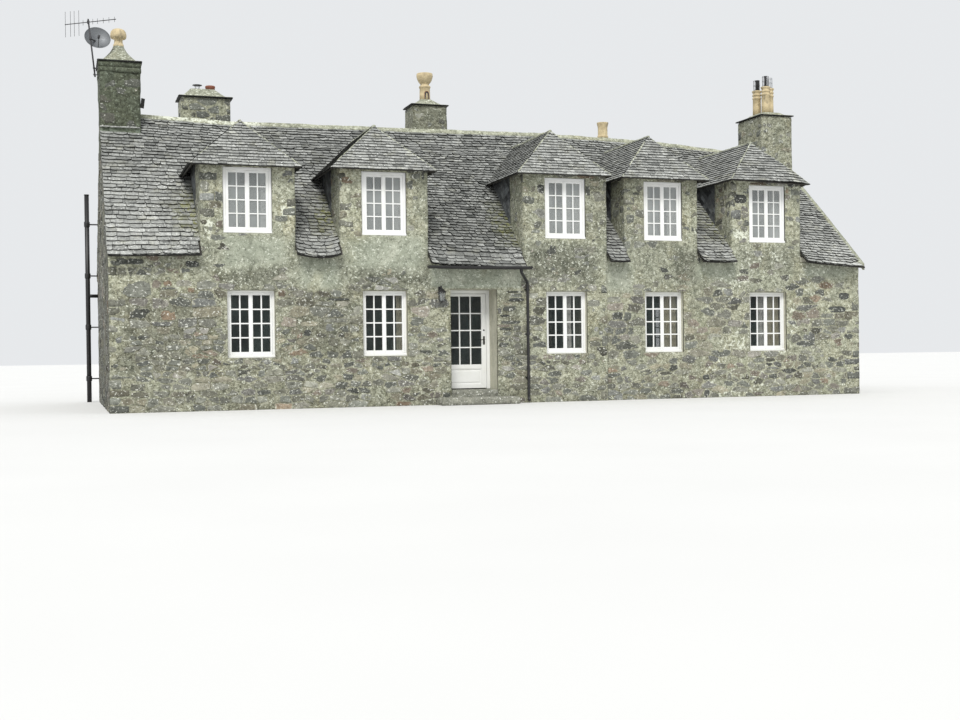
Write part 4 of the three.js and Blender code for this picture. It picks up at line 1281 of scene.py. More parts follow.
def plain_zone(amount, dark_amt=.5, seed=80):
    def zone(x, z):
        x, z = np.broadcast_arrays(np.asarray(x, float), np.asarray(z, float))
        n2 = fbm(x * 2.1, z * 2.1, seed, 3)
        cover = amount * ss(.46, .66, n2) + .1
        dark = dark_amt + .5 * (vnoise(x * .9, z * .9, seed + 2) - .5) + .3 * (1 - ss(.1, .8, z))
        return cover, np.zeros_like(x), np.clip(dark, 0, 1), .15 * ss(.5, .7, vnoise(x * 1.9, z * 1.9, seed + 4))
    return zone


# ---------------------------------------------------------------- build: roofs
left_s, right_s = (-.1, .80, 2.895, 3.6), (15.525, 16.5, 2.715, 3.6)


# mean tone and lichen of the front slates, bay by bay, low and high; the lighter left bays are partly pale slate and
# lichen, partly painted sky reflection
BAY_TONE = [(2.0, .61, .33), (5.0, .48, .38), (7.5, .28, .34), (10.3, .50, .38), (12.7, .50, .38), (15.6, .57, .39)]


def front_shade(x, y):
    bx = [b[0] for b in BAY_TONE]
    lo_, hi_ = np.interp(x, bx, [b[1] for b in BAY_TONE]), np.interp(x, bx, [b[2] for b in BAY_TONE])
    t = float(ss(.4, 2.6, y))
    tone = lo_ * (1 - t) + hi_ * t
    lich = .35 + .55 * (1 - float(ss(1.0, 4.6, x))) * (1 - float(ss(.6, 3.0, y)))
    edge = float(ss(14.9, 15.6, x)) * (1 - float(ss(.0, .7, y)))
    return tone + .25 * edge, lich + .9 * edge


def front_moss(x, y, rng):
    best = 0.0
    for i, (x0, x1, *_ ) in enumerate(DORMERS):
        if i in (0, 1, 2, 4):
            d = x0 - x
            if 0 < d < .55 and .15 < y < 1.35:
                best = max(best, (1 - d / .55) * (.95 if i < 3 else .6) * (1 - abs(y - .7) / .8))
    return float(np.clip(best * rng.uniform(.3, 1.4), 0, 1))


def rear_moss(x, y, rng):
    return float(np.clip(rng.normal(.12, .16), 0, .7))


BAYS = [(2.535, .140, .116, .215), (5.24, .116, .104, .185), (9.09, .100, .094, .165), (11.40, .106, .100, .175), (13.955, .106, .100, .175), (LENGTH + .02, .106, .100, .175)]
m = Shells()
main_slates(m, z_front, DORMERS, [left_s, right_s], 11, front_shade, front_moss, BAYS, -.02, 16.275, lambda x: .10 * float(ss(15.9, 16.3, x)) - .045 * (6.1 < x < 8.3))
boarding(m, z_front, DORMERS, [left_s, right_s])
m.object("roof_slates_front", [SLATE, SARKING_SHADE, SHADED_SLATE_EDGE], ["main_roof_front"])

rear_stacks = [(13.31, 14.45, -1, .745), (7.90, 8.78, -1, .745), (3.16, 3.72, -1, .67), (15.57, 16.5, 2.895, 3.6), (-.1, .845, 2.965, 3.6)]
m = Shells()
main_slates(m, z_rear, REAR_DORMERS, rear_stacks, 12, lambda x, y: (.40, .5), rear_moss, [(LENGTH + .02, .128, .118, .22)], .095, LENGTH + .012, lambda x: 0.0)
boarding(m, z_rear, REAR_DORMERS, rear_stacks)
m.object("roof_slates_rear", [SLATE, SARKING_SHADE, SHADED_SLATE_EDGE], ["main_roof_rear"], turned=True)

# mortared ridge
m = Shells()
xs = np.arange(.80, 15.53, .075)
rings = []
for i, x in enumerate(xs):
    zr = max(float(z_front(x, 3.4)), float(z_rear(LENGTH - x, 3.4))) + .012
    w = .060 + .032 * float(vnoise(x * 3.1, 0, 31)) + .022 * float(vnoise(x * 11, 0, 32))
    w2 = .060 + .032 * float(vnoise(x * 3.1, 9, 31)) + .022 * float(vnoise(x * 11, 9, 32))
    t = .026 + .016 * float(vnoise(x * 4.2, 3, 33))
    s = .90
    sec = [(-w, -w * s + .004), (-w * .8, -w * .8 * s + t * .75), (-.03, -.012 + t), (.03, -.012 + t), (w2 * .8, -w2 * .8 * s + t * .75), (w2, -w2 * s + .004), (w2 * .7, -w2 * s - .02), (-w * .7, -w * s - .02)]
    rings.append([(x, 3.4 + a, zr + b) for a, b in sec])
rt = [(.1, .35, .12, .10 + .75 * float(soft_box(x, 0, 1.2, 3.4, -1, 1, .3)) + .35 * float(vnoise(x * 1.3, 5, 34))) for x in xs for _ in range(8)]
m.loft(rings, np.array(rt), 0, True)
m.object("ridge_mortar", [MORTAR], ["roof_ridge"])

for i, d in enumerate(DORMERS):
    m = Shells()
    dormer_roof(m, d, z_front, 100 + 10 * i, moss=.0)
    if i == 4:
        # the right eave corner has dropped
        for V in m.V:
            V[:, 2] -= .050 * np.clip((V[:, 0] - 14.45) / .47, 0, 1) ** 2 * (V[:, 2] > 4.6)
    m.object(f"dormer_roof_{i + 1}", [SLATE, SARKING_SHADE, MORTAR, CHEEK, SHADED_SLATE_EDGE, CHEEK_EDGE], [f"dormer_{i + 1}"])
for i, d in enumerate(REAR_DORMERS):
    m = Shells()
    dormer_roof(m, d, z_rear, 200 + 10 * i, moss=.1)
    m.object(f"rear_dormer_roof_{i + 1}", [SLATE, SARKING_SHADE, MORTAR, CHEEK, SHADED_SLATE_EDGE, CHEEK_EDGE], [f"rear_dormer_{i + 1}"], turned=True)

# verges: mortar bedding between the gable walls and the slates; at the right a
# flush band of mortar stands over the gable in place of the last slates
def low_verge(m, x0, x1, zf, tilt, seed, rear):
    rings = []
    for y in np.arange(-.20, 3.38, .08):
        z = float(zf(np.clip((x0 + x1) / 2, 0, LENGTH), y))
        j = .006 * (float(vnoise(y * 7, seed, 41)) - .5)
        P = [(x0 + j, y, z - .125), (x0 + j, y, z + .002), (x1, y, z + .002), (x1, y, z - .125)]
        rings.append([(LENGTH - a, DEPTH - b, c) for a, b, c in P] if rear else P)
    m.loft(rings, (.3, .1, tilt, .15), 0, False)


def high_verge(m, zf, seed, rear):
    rings = []
    for y in np.arange(-.17, 3.38, .07):
        zi, zo = (float(zf(LENGTH - 16.28 if rear else 16.28, y)), float(zf(LENGTH - 16.36 if rear else 16.36, y)))
        j = .012 * (float(vnoise(y * 5, seed, 43)) - .5)
        k = .012 * (float(vnoise(y * 9, seed, 44)) - .5)
        P = [(16.245, y, zi - .03), (16.250 + j, y, zi + .022 + k), (16.285, y, zi + .034 + k), (16.345, y, zo + .034 + k), (16.374 + k * .5, y, zo + .020), (16.378, y, zo - .125), (16.33, y, zo - .125)]
        rings.append([(a, DEPTH - b, c) for a, b, c in P] if rear else P)
    m.loft(rings, (.25, .45, .45, .15), 0, True)


m = Shells()
low_verge(m, -.012, .060, z_front, .55, 1, False)
low_verge(m, LENGTH + .012, LENGTH - .060, z_rear, .55, 3, True)
high_verge(m, z_front, 2, False)
high_verge(m, z_rear, 4, True)
m.object("verge_mortar", [MORTAR])

# ---------------------------------------------------------------- build: masonry
FRONT = Face((0, 0, 0), (1, 0, 0), (0, -1, 0))
FRONT_R = Face((0, SET_BACK, 0), (1, 0, 0), (0, -1, 0))


def strip_top(xa, xb):
    xs = np.linspace(xa, xb, 9)
    return float(np.interp(xs, EX, EZ).min()) + .13


def front_outline(x0, x1, dormers):
    """Openings above the eaves between the dormer fronts, as rectangles."""
    out, x = [], x0
    for d in dormers:
        if d[0] > x + .01:
            out.append((x, d[0], strip_top(x, d[0]), 6))
        x = d[1]
    if x < x1 - .01:
        out.append((x, x1, strip_top(x, x1), 6))
    return out


# single stones that stand out: extent along and up the wall, hue, value
FEATURES = [(3.54, 3.93, 1.587, 1.704, .68, .75), (4.09, 4.33, 1.192, 1.368, .52, .55), (3.62, 3.79, 1.392, 1.548, 0, .35), (4.05, 4.27, 1.486, 1.663, .80, .45),
            (3.98, 4.56, 2.094, 2.162, 0, .3), (4.41, 4.69, 4.396, 4.553, .93, .3), (.22, .78, 2.146, 2.482, .2, .6), (.92, 1.23, 1.715, 1.922, .93, .6),
            (.98, 1.15, 2.354, 2.485, .93, .5), (1.42, 1.57, 2.242, 2.356, .93, .5), (.12, .66, 2.76, 2.891, 0, .4), (1.35, 1.67, 2.715, 2.866, 0, .4),
            (7.69, 8.24, 2.26, 2.309, 0, .15), (7.67, 8.24, 2.075, 2.173, 0, .25), (7.73, 8.23, 1.877, 2.0, .06, .3), (7.67, 7.94, 1.764, 1.826, 0, .15),
            (7.68, 8.15, 1.616, 1.702, .05, .3), (7.66, 7.96, 1.493, 1.555, 0, .2), (7.65, 7.91, 1.137, 1.26, .06, .35)]
FEATURES_R = [(13.17, 13.52, 4.236, 4.456, 0, .2), (10.44, 10.68, 2.145, 2.294, .68, .7), (15.83, 16.13, 2.13, 2.311, 0, .35), (15.51, 16.04, 1.836, 1.994, 0, .35)]
m = Shells()
corner_q = quoins(m, 0, 0, 1, 1, 0.0, 3.05, 301)
joint_q = quoins(m, 10.0897, 0, -1, 1, 0.0, 4.80, 302, long=.30, short=.17)
holes = [WINDOWS[f"window_{s}_{i}"] for s in ("upper", "lower") for i in (1, 2, 3)] + [(DOOR_X0, DOOR_X1, -1, DOOR_HEAD)]
outline = front_outline(0, 10.0897, DORMERS[:3])
qh = [(0, lx, a, b) for a, b, lx, ly in corner_q] + [(10.0897 - lx, 10.1, a, b) for a, b, lx, ly in joint_q]
side_q = []
for i, d in enumerate(DORMERS[:3]):
    ql = quoins(m, d[0], 0, 1, 1, 3.15, d[4] + .10, 310 + i, long=.26, short=.15, h=(.13, .24))
    qr = quoins(m, d[1], 0, -1, 1, 3.15, d[4] + .10, 320 + i, long=.26, short=.15, h=(.13, .24)) if i < 2 else [q for q in joint_q if q[0] > 3.0]
    side_q.append((ql, qr))
    qh += [(d[0], d[0] + lx, a, b) for a, b, lx, ly in ql]
    if i < 2:
        qh += [(d[1] - lx, d[1], a, b) for a, b, lx, ly in qr]
rubble(m, FRONT, 0, 10.0897, 0, 4.80, holes + outline + qh, front_zone, 401, size=.185, flat_holes=holes + outline, features=FEATURES)


def dormer_sides(m, dormers, side_q, zf, seed, zone, y0=0.0):
    for i, (d, (ql, qr)) in enumerate(zip(dormers, side_q)):
        dep = WALL - y0
        zl = float(zf(d[0], 0, False)) - .05
        top = d[4] + .15
        f = Face((d[0], WALL, 0), (0, -1, 0), (-1, 0, 0))
        rubble(m, f, 0, dep, zl, top, [(dep - ly, dep, a, b) for a, b, lx, ly in ql], zone, seed + i, size=.15, step=.05)
        f = Face((d[1], y0, 0), (0, 1, 0), (1, 0, 0))
        rubble(m, f, 0, dep, zl, top, [(0, ly, a, b) for a, b, lx, ly in qr], zone, seed + 10 + i, size=.15, step=.05)


dormer_sides(m, DORMERS[:3], side_q, z_front, 430, plain_zone(.6, .5, 85))
m.object("front_masonry_left_build", [STONE, MORTAR])

m = Shells()
corner_r = quoins(m, LENGTH, SET_BACK, -1, 1, 0.0, 3.0, 303)
holes = [WINDOWS[f"window_{s}_{i}"] for s in ("upper", "lower") for i in (4, 5)]
outline = front_outline(JOINT_X, LENGTH, DORMERS[3:])
qh = [(LENGTH - lx, LENGTH, a, b) for a, b, lx, ly in corner_r]
side_q = []
for i, d in enumerate(DORMERS[3:]):
    ql = quoins(m, d[0], SET_BACK, 1, 1, 3.15, d[4] + .10, 330 + i, long=.26, short=.15, h=(.13, .24))
    qr = quoins(m, d[1], SET_BACK, -1, 1, 3.15, d[4] + .10, 340 + i, long=.26, short=.15, h=(.13, .24))
    side_q.append((ql, qr))
    qh += [(d[0], d[0] + lx, a, b) for a, b, lx, ly in ql] + [(d[1] - lx, d[1], a, b) for a, b, lx, ly in qr]
rubble(m, FRONT_R, JOINT_X, LENGTH, 0, 4.80, holes + outline + qh, front_zone, 402, size=.18, flat_holes=holes + outline, features=FEATURES_R)
dormer_sides(m, DORMERS[3:], side_q, z_front, 460, plain_zone(.6, .5, 86), SET_BACK)
m.object("front_masonry_right_build", [STONE, MORTAR])

# gables
slope_l = lambda y, zf, x: float(zf(x, y)) - .10


def gable_masonry(name, face, u_front, corner_front, seed, x, zone):
    """u runs along the gable; the roof line is a tent over it."""
    m = Shells()
    front_first = u_front == 0
    zf_e, zr_e = float(z_front(x, 0)) - .10, float(z_rear(LENGTH - x, 0)) - .10
    zf_r = float(z_front(x, 3.3)) - .10
    rear_corner = quoins(m, x, DEPTH, 1 if x < 1 else -1, -1, 0, 3.0, seed + 5)

    def top(u):
        y = u if front_first else DEPTH - u
        f = np.interp(y, [0, 3.4], [zf_e, zf_r + .09])
        r = np.interp(DEPTH - y, [0, 3.4], [zr_e, zf_r + .09])
        return np.where(y < 3.4, f, r)

    lines = []
    for (ua, va), (ub, vb) in (((0, float(top(0))), (3.4, float(top(3.4)))), ((3.4, float(top(3.4))), (DEPTH, float(top(DEPTH))))):
        nx, ny = -(vb - va), (ub - ua)
        l = math.hypot(nx, ny)
        lines.append((nx / l, ny / l, (nx * ua + ny * va) / l))
    cf = [(0 if front_first else DEPTH - ly - (SET_BACK if x > 1 else 0), ly + (SET_BACK if x > 1 else 0) if front_first else DEPTH, a, b) for a, b, lx, ly in corner_front]
    cr = [(DEPTH - ly if front_first else 0, DEPTH if front_first else ly, a, b) for a, b, lx, ly in rear_corner]
    u0 = SET_BACK if (x > 1 and front_first) else 0
    rubble(m, face, u0, DEPTH, 0, 6.08, cf + cr, zone, seed, lines=lines, size=.20, step=.048, vtop=top)
    # the left gable takes the darker copies, painted shade
    m.object(name, [STONE_SHADE, MORTAR_SHADE] if x < 1 else [STONE, MORTAR])
    return rear_corner


# the left gable's zone is darker as well, painted shade
rear_left = gable_masonry("left_gable_masonry", Face((0, DEPTH, 0), (0, -1, 0), (-1, 0, 0)), 1, corner_q, 501, 0.0, plain_zone(.55, .75, 91))
rear_right = gable_masonry("right_gable_masonry", Face((LENGTH, 0, 0), (0, 1, 0), (1, 0, 0)), 0, corner_r, 502, LENGTH, plain_zone(.6, .5, 92))

# rear wall, laid out in its own turned frame
m = Shells()
holes = list(REAR_WINDOWS.values())


def rear_outline():
    out, x = [], 0.0
    for d in REAR_DORMERS:
        out.append((x, d[0], REAR_EAVE + .13, 6))
        x = d[1]
    out.append((x, LENGTH, REAR_EAVE + .13, 6))
    return out


outline = rear_outline()
qh = [(0, lx, a, b) for a, b, lx, ly in rear_right] + [(LENGTH - lx, LENGTH, a, b) for a, b, lx, ly in rear_left]
side_q = []
for i, d in enumerate(REAR_DORMERS):
    ql = quoins(m, d[0], 0, 1, 1, 3.15, d[4] + .10, 350 + i, long=.26, short=.15, h=(.13, .24))
    qr = quoins(m, d[1], 0, -1, 1, 3.15, d[4] + .10, 360 + i, long=.26, short=.15, h=(.13, .24))
    side_q.append((ql, qr))
    qh += [(d[0], d[0] + lx, a, b) for a, b, lx, ly in ql] + [(d[1] - lx, d[1], a, b) for a, b, lx, ly in qr]
rubble(m, FRONT, 0, LENGTH, 0, 4.80, holes + outline + qh, plain_zone(.8, .55, 93), 403, size=.20, flat_holes=holes + outline, step=.045)
dormer_sides(m, REAR_DORMERS, side_q, z_rear, 480, plain_zone(.6, .5, 87))
m.object("rear_masonry", [STONE, MORTAR], turned=True)


# ---------------------------------------------------------------- build: stacks
def slab(m, x0, x1, y0, y1, z0, z1, seed, mat=3, tint=(.35, .3, 0, .5)):
    block(m, (x0, y0, z0), (x1, y1, z1), (9, 9, 1), min(.010, (z1 - z0) * .4), .008, seed, tint, mat, 5.0)


def stack_masonry(name, node, s, base, z0, seed, hues, size=.25, band=None, zone=None, low=None, thin=.030, mats=None,
                  joint=.011, proud=(.003, .012), omit=.12, smear=1.0, skin=(0, .6, .1, .45), keep=.85):
    x0, x1, y0, y1, top, over, th = s
    m = Shells()
    z1 = top - (band[1] if band else 0)
    zone = zone or plain_zone(.35, .45, seed)
    cs = {}
    for cx, sx in ((x0, 1), (x1, -1)):
        for cy, sy in ((y0, 1), (y1, -1)):
            cs[(sx, sy)] = quoins(m, cx, cy, sx, sy, z0, z1, seed + sx * 2 + sy + 7, long=.30, short=.18, h=(.12, .24), p=.005, keep=keep)
    W, Dp = x1 - x0, y1 - y0
    for face, n, A, B in ((Face((x0, y0, 0), (1, 0, 0), (0, -1, 0)), W, [(lx, a, b) for a, b, lx, ly in cs[(1, 1)]], [(lx, a, b) for a, b, lx, ly in cs[(-1, 1)]]),
                          (Face((x1, y0, 0), (0, 1, 0), (1, 0, 0)), Dp, [(ly, a, b) for a, b, lx, ly in cs[(-1, 1)]], [(ly, a, b) for a, b, lx, ly in cs[(-1, -1)]]),
                          (Face((x1, y1, 0), (-1, 0, 0), (0, 1, 0)), W, [(lx, a, b) for a, b, lx, ly in cs[(-1, -1)]], [(lx, a, b) for a, b, lx, ly in cs[(1, -1)]]),
                          (Face((x0, y1, 0), (0, -1, 0), (-1, 0, 0)), Dp, [(ly, a, b) for a, b, lx, ly in cs[(1, -1)]], [(ly, a, b) for a, b, lx, ly in cs[(1, 1)]])):
        seed += 11
        hs = [(0, l, a, b) for l, a, b in A] + [(n - l, n, a, b) for l, a, b in B]
        rubble(m, face, 0, n, z0, z1, hs, zone, seed, size=size, step=.05, hues=hues, proud=proud, joint=joint, omit=omit, smear=smear)
    # the core, which carries the slab
    m.box(x0 + .012, x1 - .012, y0 + .012, y1 - .012, base, top + th - thin + .002, .01, (.3, .1, .5, .1), 1)
    if band:
        o, h = band
        for k, (za, zb) in enumerate(((top - h - .004, top - h * .5), (top - h * .5 + .004, top + th - thin))):
            block(m, (x0 - o, y0 - o, za), (x1 + o, y1 + o, zb), (9, 9, 2), .012, .010, seed + 3 + k, (.5, .0, .75, .12), 1, 5.0)
    # the capping slab takes the near-black slate edge material, painted shade along its edges
    slab(m, x0 - over - .004, x1 + over + .004, y0 - over - .004, y1 + over + .004, top + th - thin, top + th, seed + 5)
    block(m, (x0 - over + .012, y0 - over + .012, top + th - .006), (x1 + over - .012, y1 + over - .012, top + th + .006), (9, 9, 1), .004, .003, seed + 6, skin, 1, 5.0)
    if low:
        low(m)
    m.object(name, (mats or [STONE, MORTAR]) + [SLATE, SHADED_SLATE_EDGE], [node])


def drip(m):
    """Thin slates let into the left stack over a strip of old mortar."""
    rng = np.random.default_rng(77)
    for x in np.arange(-.02, .78, .20):
        block(m, (x, 2.80, 5.812 + rng.uniform(-.006, .006)), (x + .197, 2.91, 5.836), (3, 2, 1), .006, .004, int(rng.integers(999)), (.9, .9, 0, .5), 2)
    rings = [[(x, 2.852 + .008 * float(vnoise(x * 9, 1, 4)), 5.675), (x, 2.868, 5.815), (x, 2.93, 5.815), (x, 2.93, 5.675)] for x in np.arange(-.01, .80, .05)]
    m.loft(rings, (.1, .9, .0, .9), 1, True)
    # a slipped piece of flashing on the right corner
    P = np.array([(.79, 2.868, 6.25), (.862, 2.862, 6.235), (.890, 2.868, 6.44), (.815, 2.872, 6.455)])
    prism(m, P, P + [0, .012, 0], (.1, .1, 0, .5), 3)


DARK_HUES = [.0, .02, .05, .10, .16]
stack_masonry("left_stack_masonry", "left_stack", (-.010, .795, 2.9, 3.9, 7.17, .05, .05), 5.3, 5.3, 601, DARK_HUES, size=.26, band=(.03, .19),
              zone=plain_zone(.95, .85, 95), low=drip, mats=[STONE_DARK, MORTAR_DARK], omit=.30, proud=(.002, .008), skin=(.2, .4, .2, .3))
stack_masonry("right_stack_masonry", "right_stack", (15.53, 16.37, 2.72, 3.83, 6.755, .045, .055), 5.3, 5.3, 651, [.1, .2, .34, .5, .66, .8], size=.21,
              zone=plain_zone(.5, .55, 96))
stack_masonry("rear_stack_left_masonry", "rear_stack_left", (1.92, 3.06, 6.055, 6.79, 7.155, .065, .055), 2.7, 2.9, 701, [.0, .04, .1, .16, .3, .5], size=.30,
              zone=plain_zone(.15, .2, 97), joint=.017, proud=(.008, .020), omit=.02, smear=.35, keep=1)
stack_masonry("rear_stack_middle_masonry", "rear_stack_middle", (7.59, 8.47, 6.055, 6.79, 7.25, .05, .055), 2.7, 2.9, 751, [.1, .16, .3, .5, .52, .66], size=.22,
              zone=plain_zone(.5, .75, 98))
stack_masonry("rear_stack_right_masonry", "rear_stack_right", (12.65, 13.21, 6.13, 6.79, 6.61, .045, .05), 2.7, 2.9, 801, [.15, .3, .36, .5, .8, 1], size=.20)


def flaunching(m, s, h, cx, cy, rx, ry, power=1.6, seed=1, mat=0, n=40, rows=9, square=.0):
    """Mortar swept from the slab up to the pots; hollow sided."""
    x0, x1, y0, y1, z0 = s
    a = np.arange(n) * 2 * math.pi / n
    rings = []
    for k in range(rows):
        t = k / (rows - 1)
        f = (1 - t) ** power
        # rounded rectangle that turns into the top's shape
        ex = .30 + .70 * t if square < .5 else .35
        c, s_ = np.sign(np.cos(a)) * np.abs(np.cos(a)) ** ex, np.sign(np.sin(a)) * np.abs(np.sin(a)) ** ex
        hx, hy = rx + ((x1 - x0) / 2 - rx) * f, ry + ((y1 - y0) / 2 - ry) * f
        mx, my = cx + ((x0 + x1) / 2 - cx) * f, cy + ((y0 + y1) / 2 - cy) * f
        w = 1 + .03 * (vnoise(a * 2, t * 5, seed) - .5)
        rings.append(np.stack([mx + hx * c * w, my + hy * s_ * w, np.full(n, z0 + h * t)], 1))
    m.loft(rings, (.25, .35, .55, .5), mat, True)


m = Shells()
z = 7.22
flaunching(m, (-.005, .790, 2.905, 3.895, z), .405, .395, 3.4, .108, .108, 1.35, 3)
m.lathe([(0, z + .34), (.104, z + .34), (.110, z + .36), (.110, z + .42), (.104, z + .445), (.092, z + .460), (.086, z + .50), (.086, z + .552),
         (.116, z + .560), (.148, z + .570), (.162, z + .595), (.167, z + .630), (.164, z + .67), (.150, z + .715), (.124, z + .748), (.084, z + .769), (.04, z + .778), (0, z + .78)], .395, 3.4, 36, mat=1)
m.object("left_stack_pot_and_flaunching", [MORTAR, BUFF], ["left_stack_pot"])

m = Shells()
z = 6.81
flaunching(m, (15.55, 16.35, 2.74, 3.81, z), .085, 15.93, 3.22, .27, .36, 1.0, 5, square=1)
for k, (x, y, h) in enumerate([(15.835, 3.43, .72), (15.83, 3.01, .74), (16.04, 3.18, .74)]):
    prof = [(0, z + .04), (.104, z + .04), (.101, z + .3)]
    zt = z + h
    for r0, dz in ((.098, -.215), (.111, -.205), (.111, -.180), (.097, -.170), (.096, -.135), (.111, -.125), (.111, -.100), (.096, -.09), (.096, -.055), (.108, -.044), (.118, -.020), (.118, -.004), (.104, 0), (.084, .0), (.078, -.10), (0, -.10)):
        prof.append((r0, zt + dz))
    m.lathe(prof, x, y, 28, mat=1)
    cm = 3 if k == 2 else 2
    for j in range(12):
        a = j * math.pi / 6
        m.tube([(x + .070 * math.cos(a), y + .070 * math.sin(a), zt - .05), (x + .076 * math.cos(a), y + .076 * math.sin(a), zt + .12), (x + .074 * math.cos(a), y + .074 * math.sin(a), zt + .255)], .0034, 6, mat=cm)
    for zz, rr in ((.02, .075), (.135, .077), (.255, .075)):
        m.tube([(x + rr * math.cos(a), y + rr * math.sin(a), zt + zz) for a in np.linspace(0, 2 * math.pi, 21)], .0036, 6, mat=cm)
    if k < 2:
        # the sheet-metal throat inside the guard
        rr, dx = ((.046, .022), (.026, .0))[k]
        m.lathe([(0, zt - .06), (rr, zt - .06), (rr, zt + .245), (rr + .008, zt + .255), (rr + .006, zt + .268), (0, zt + .272)], x + dx, y, 20, mat=2)
m.object("right_stack_pots_and_cowls", [MORTAR, BUFF, LEAD, ALU], ["right_stack_pots"])

m = Shells()
z = 7.21
flaunching(m, (1.94, 3.04, 6.075, 6.77, z), .225, 2.455, 6.42, .285, .12, 1.0, 7, square=1)
m.lathe([(0, z + .18), (.112, z + .18), (.110, z + .27), (.118, z + .28), (.118, z + .312), (.108, z + .322), (.086, z + .322), (.082, z + .24)], 2.64, 6.42, 28, mat=1)
m.lathe([(0, z + .20), (.084, z + .20), (.083, z + .245), (0, z + .246)], 2.64, 6.42, 28, mat=2)
m.lathe([(0, z + .18), (.052, z + .18), (.050, z + .24), (0, z + .242)], 2.335, 6.42, 20, mat=2)
for j in range(4):
    a = j * math.pi / 2 + .4
    m.tube([(2.335 + .045 * math.cos(a), 6.42 + .045 * math.sin(a), z + .22), (2.335 + .070 * math.cos(a), 6.42 + .070 * math.sin(a), z + .330)], .0045, 6, mat=2)
m.lathe([(0, z + .324), (.114, z + .323), (.115, z + .331), (.075, z + .340), (.02, z + .346), (0, z + .347)], 2.335, 6.42, 28, mat=2)
m.object("rear_stack_left_pots_and_cowl", [MORTAR, RED, LEAD], ["rear_stack_left_pots"])

m = Shells()
z = 7.305
flaunching(m, (7.61, 8.45, 6.075, 6.77, z), .165, 8.01, 6.41, .15, .14, 1.1, 9, square=1)
m.lathe([(0, z + .12), (.136, z + .12), (.134, z + .30), (.130, z + .46), (.138, z + .47), (.146, z + .485), (.146, z + .51), (.132, z + .525), (.110, z + .545),
         (.106, z + .565), (.128, z + .590), (.152, z + .622), (.174, z + .66), (.190, z + .70), (.200, z + .735), (.208, z + .77), (.208, z + .80), (.200, z + .812), (.204, z + .822), (.200, z + .838), (.160, z + .84), (.15, z + .76), (0, z + .74)], 8.01, 6.41, 40, mat=1)
# arched draught opening on the side towards the front
for half, tall, dy, mt in ((.066, .205, .0, 3), (.052, .190, -.004, 2)):
    sl = []
    for a in np.linspace(0, math.pi, 11):
        sl.append((8.025 + half * math.cos(a), z + .175 + tall - half + half * math.sin(a)))
    sl += [(8.025 - half, z + .175), (8.025 + half, z + .175)]
    top = np.array([(x, 6.41 + dy - math.sqrt(max(.1375 ** 2 - (x - 8.01) ** 2, 0)), zz) for x, zz in sl])
    prism(m, top, top + [0, .03, 0], (.1, .1, 0, .5), mt)
m.object("rear_stack_middle_pot_and_flaunching", [MORTAR, BUFF, LEAD, RED], ["rear_stack_middle_pot"])

m = Shells()
z = 6.66
flaunching(m, (12.67, 13.19, 6.15, 6.77, z), .06, 12.955, 6.45, .155, .155, 1.0, 11, square=1)
m.lathe([(0, z + .03), (.134, z + .03), (.134, z + .07), (.145, z + .082), (.145, z + .118), (.134, z + .130), (.129, z + .16), (.127, z + .32), (.131, z + .36), (.140, z + .40), (.150, z + .44),
         (.155, z + .462), (.155, z + .478), (.135, z + .48), (.118, z + .47), (.108, z + .38), (0, z + .36)], 12.955, 6.45, 32, mat=1)
m.object("rear_stack_right_pot_and_flaunching", [MORTAR, BUFF], ["rear_stack_right_pot"])


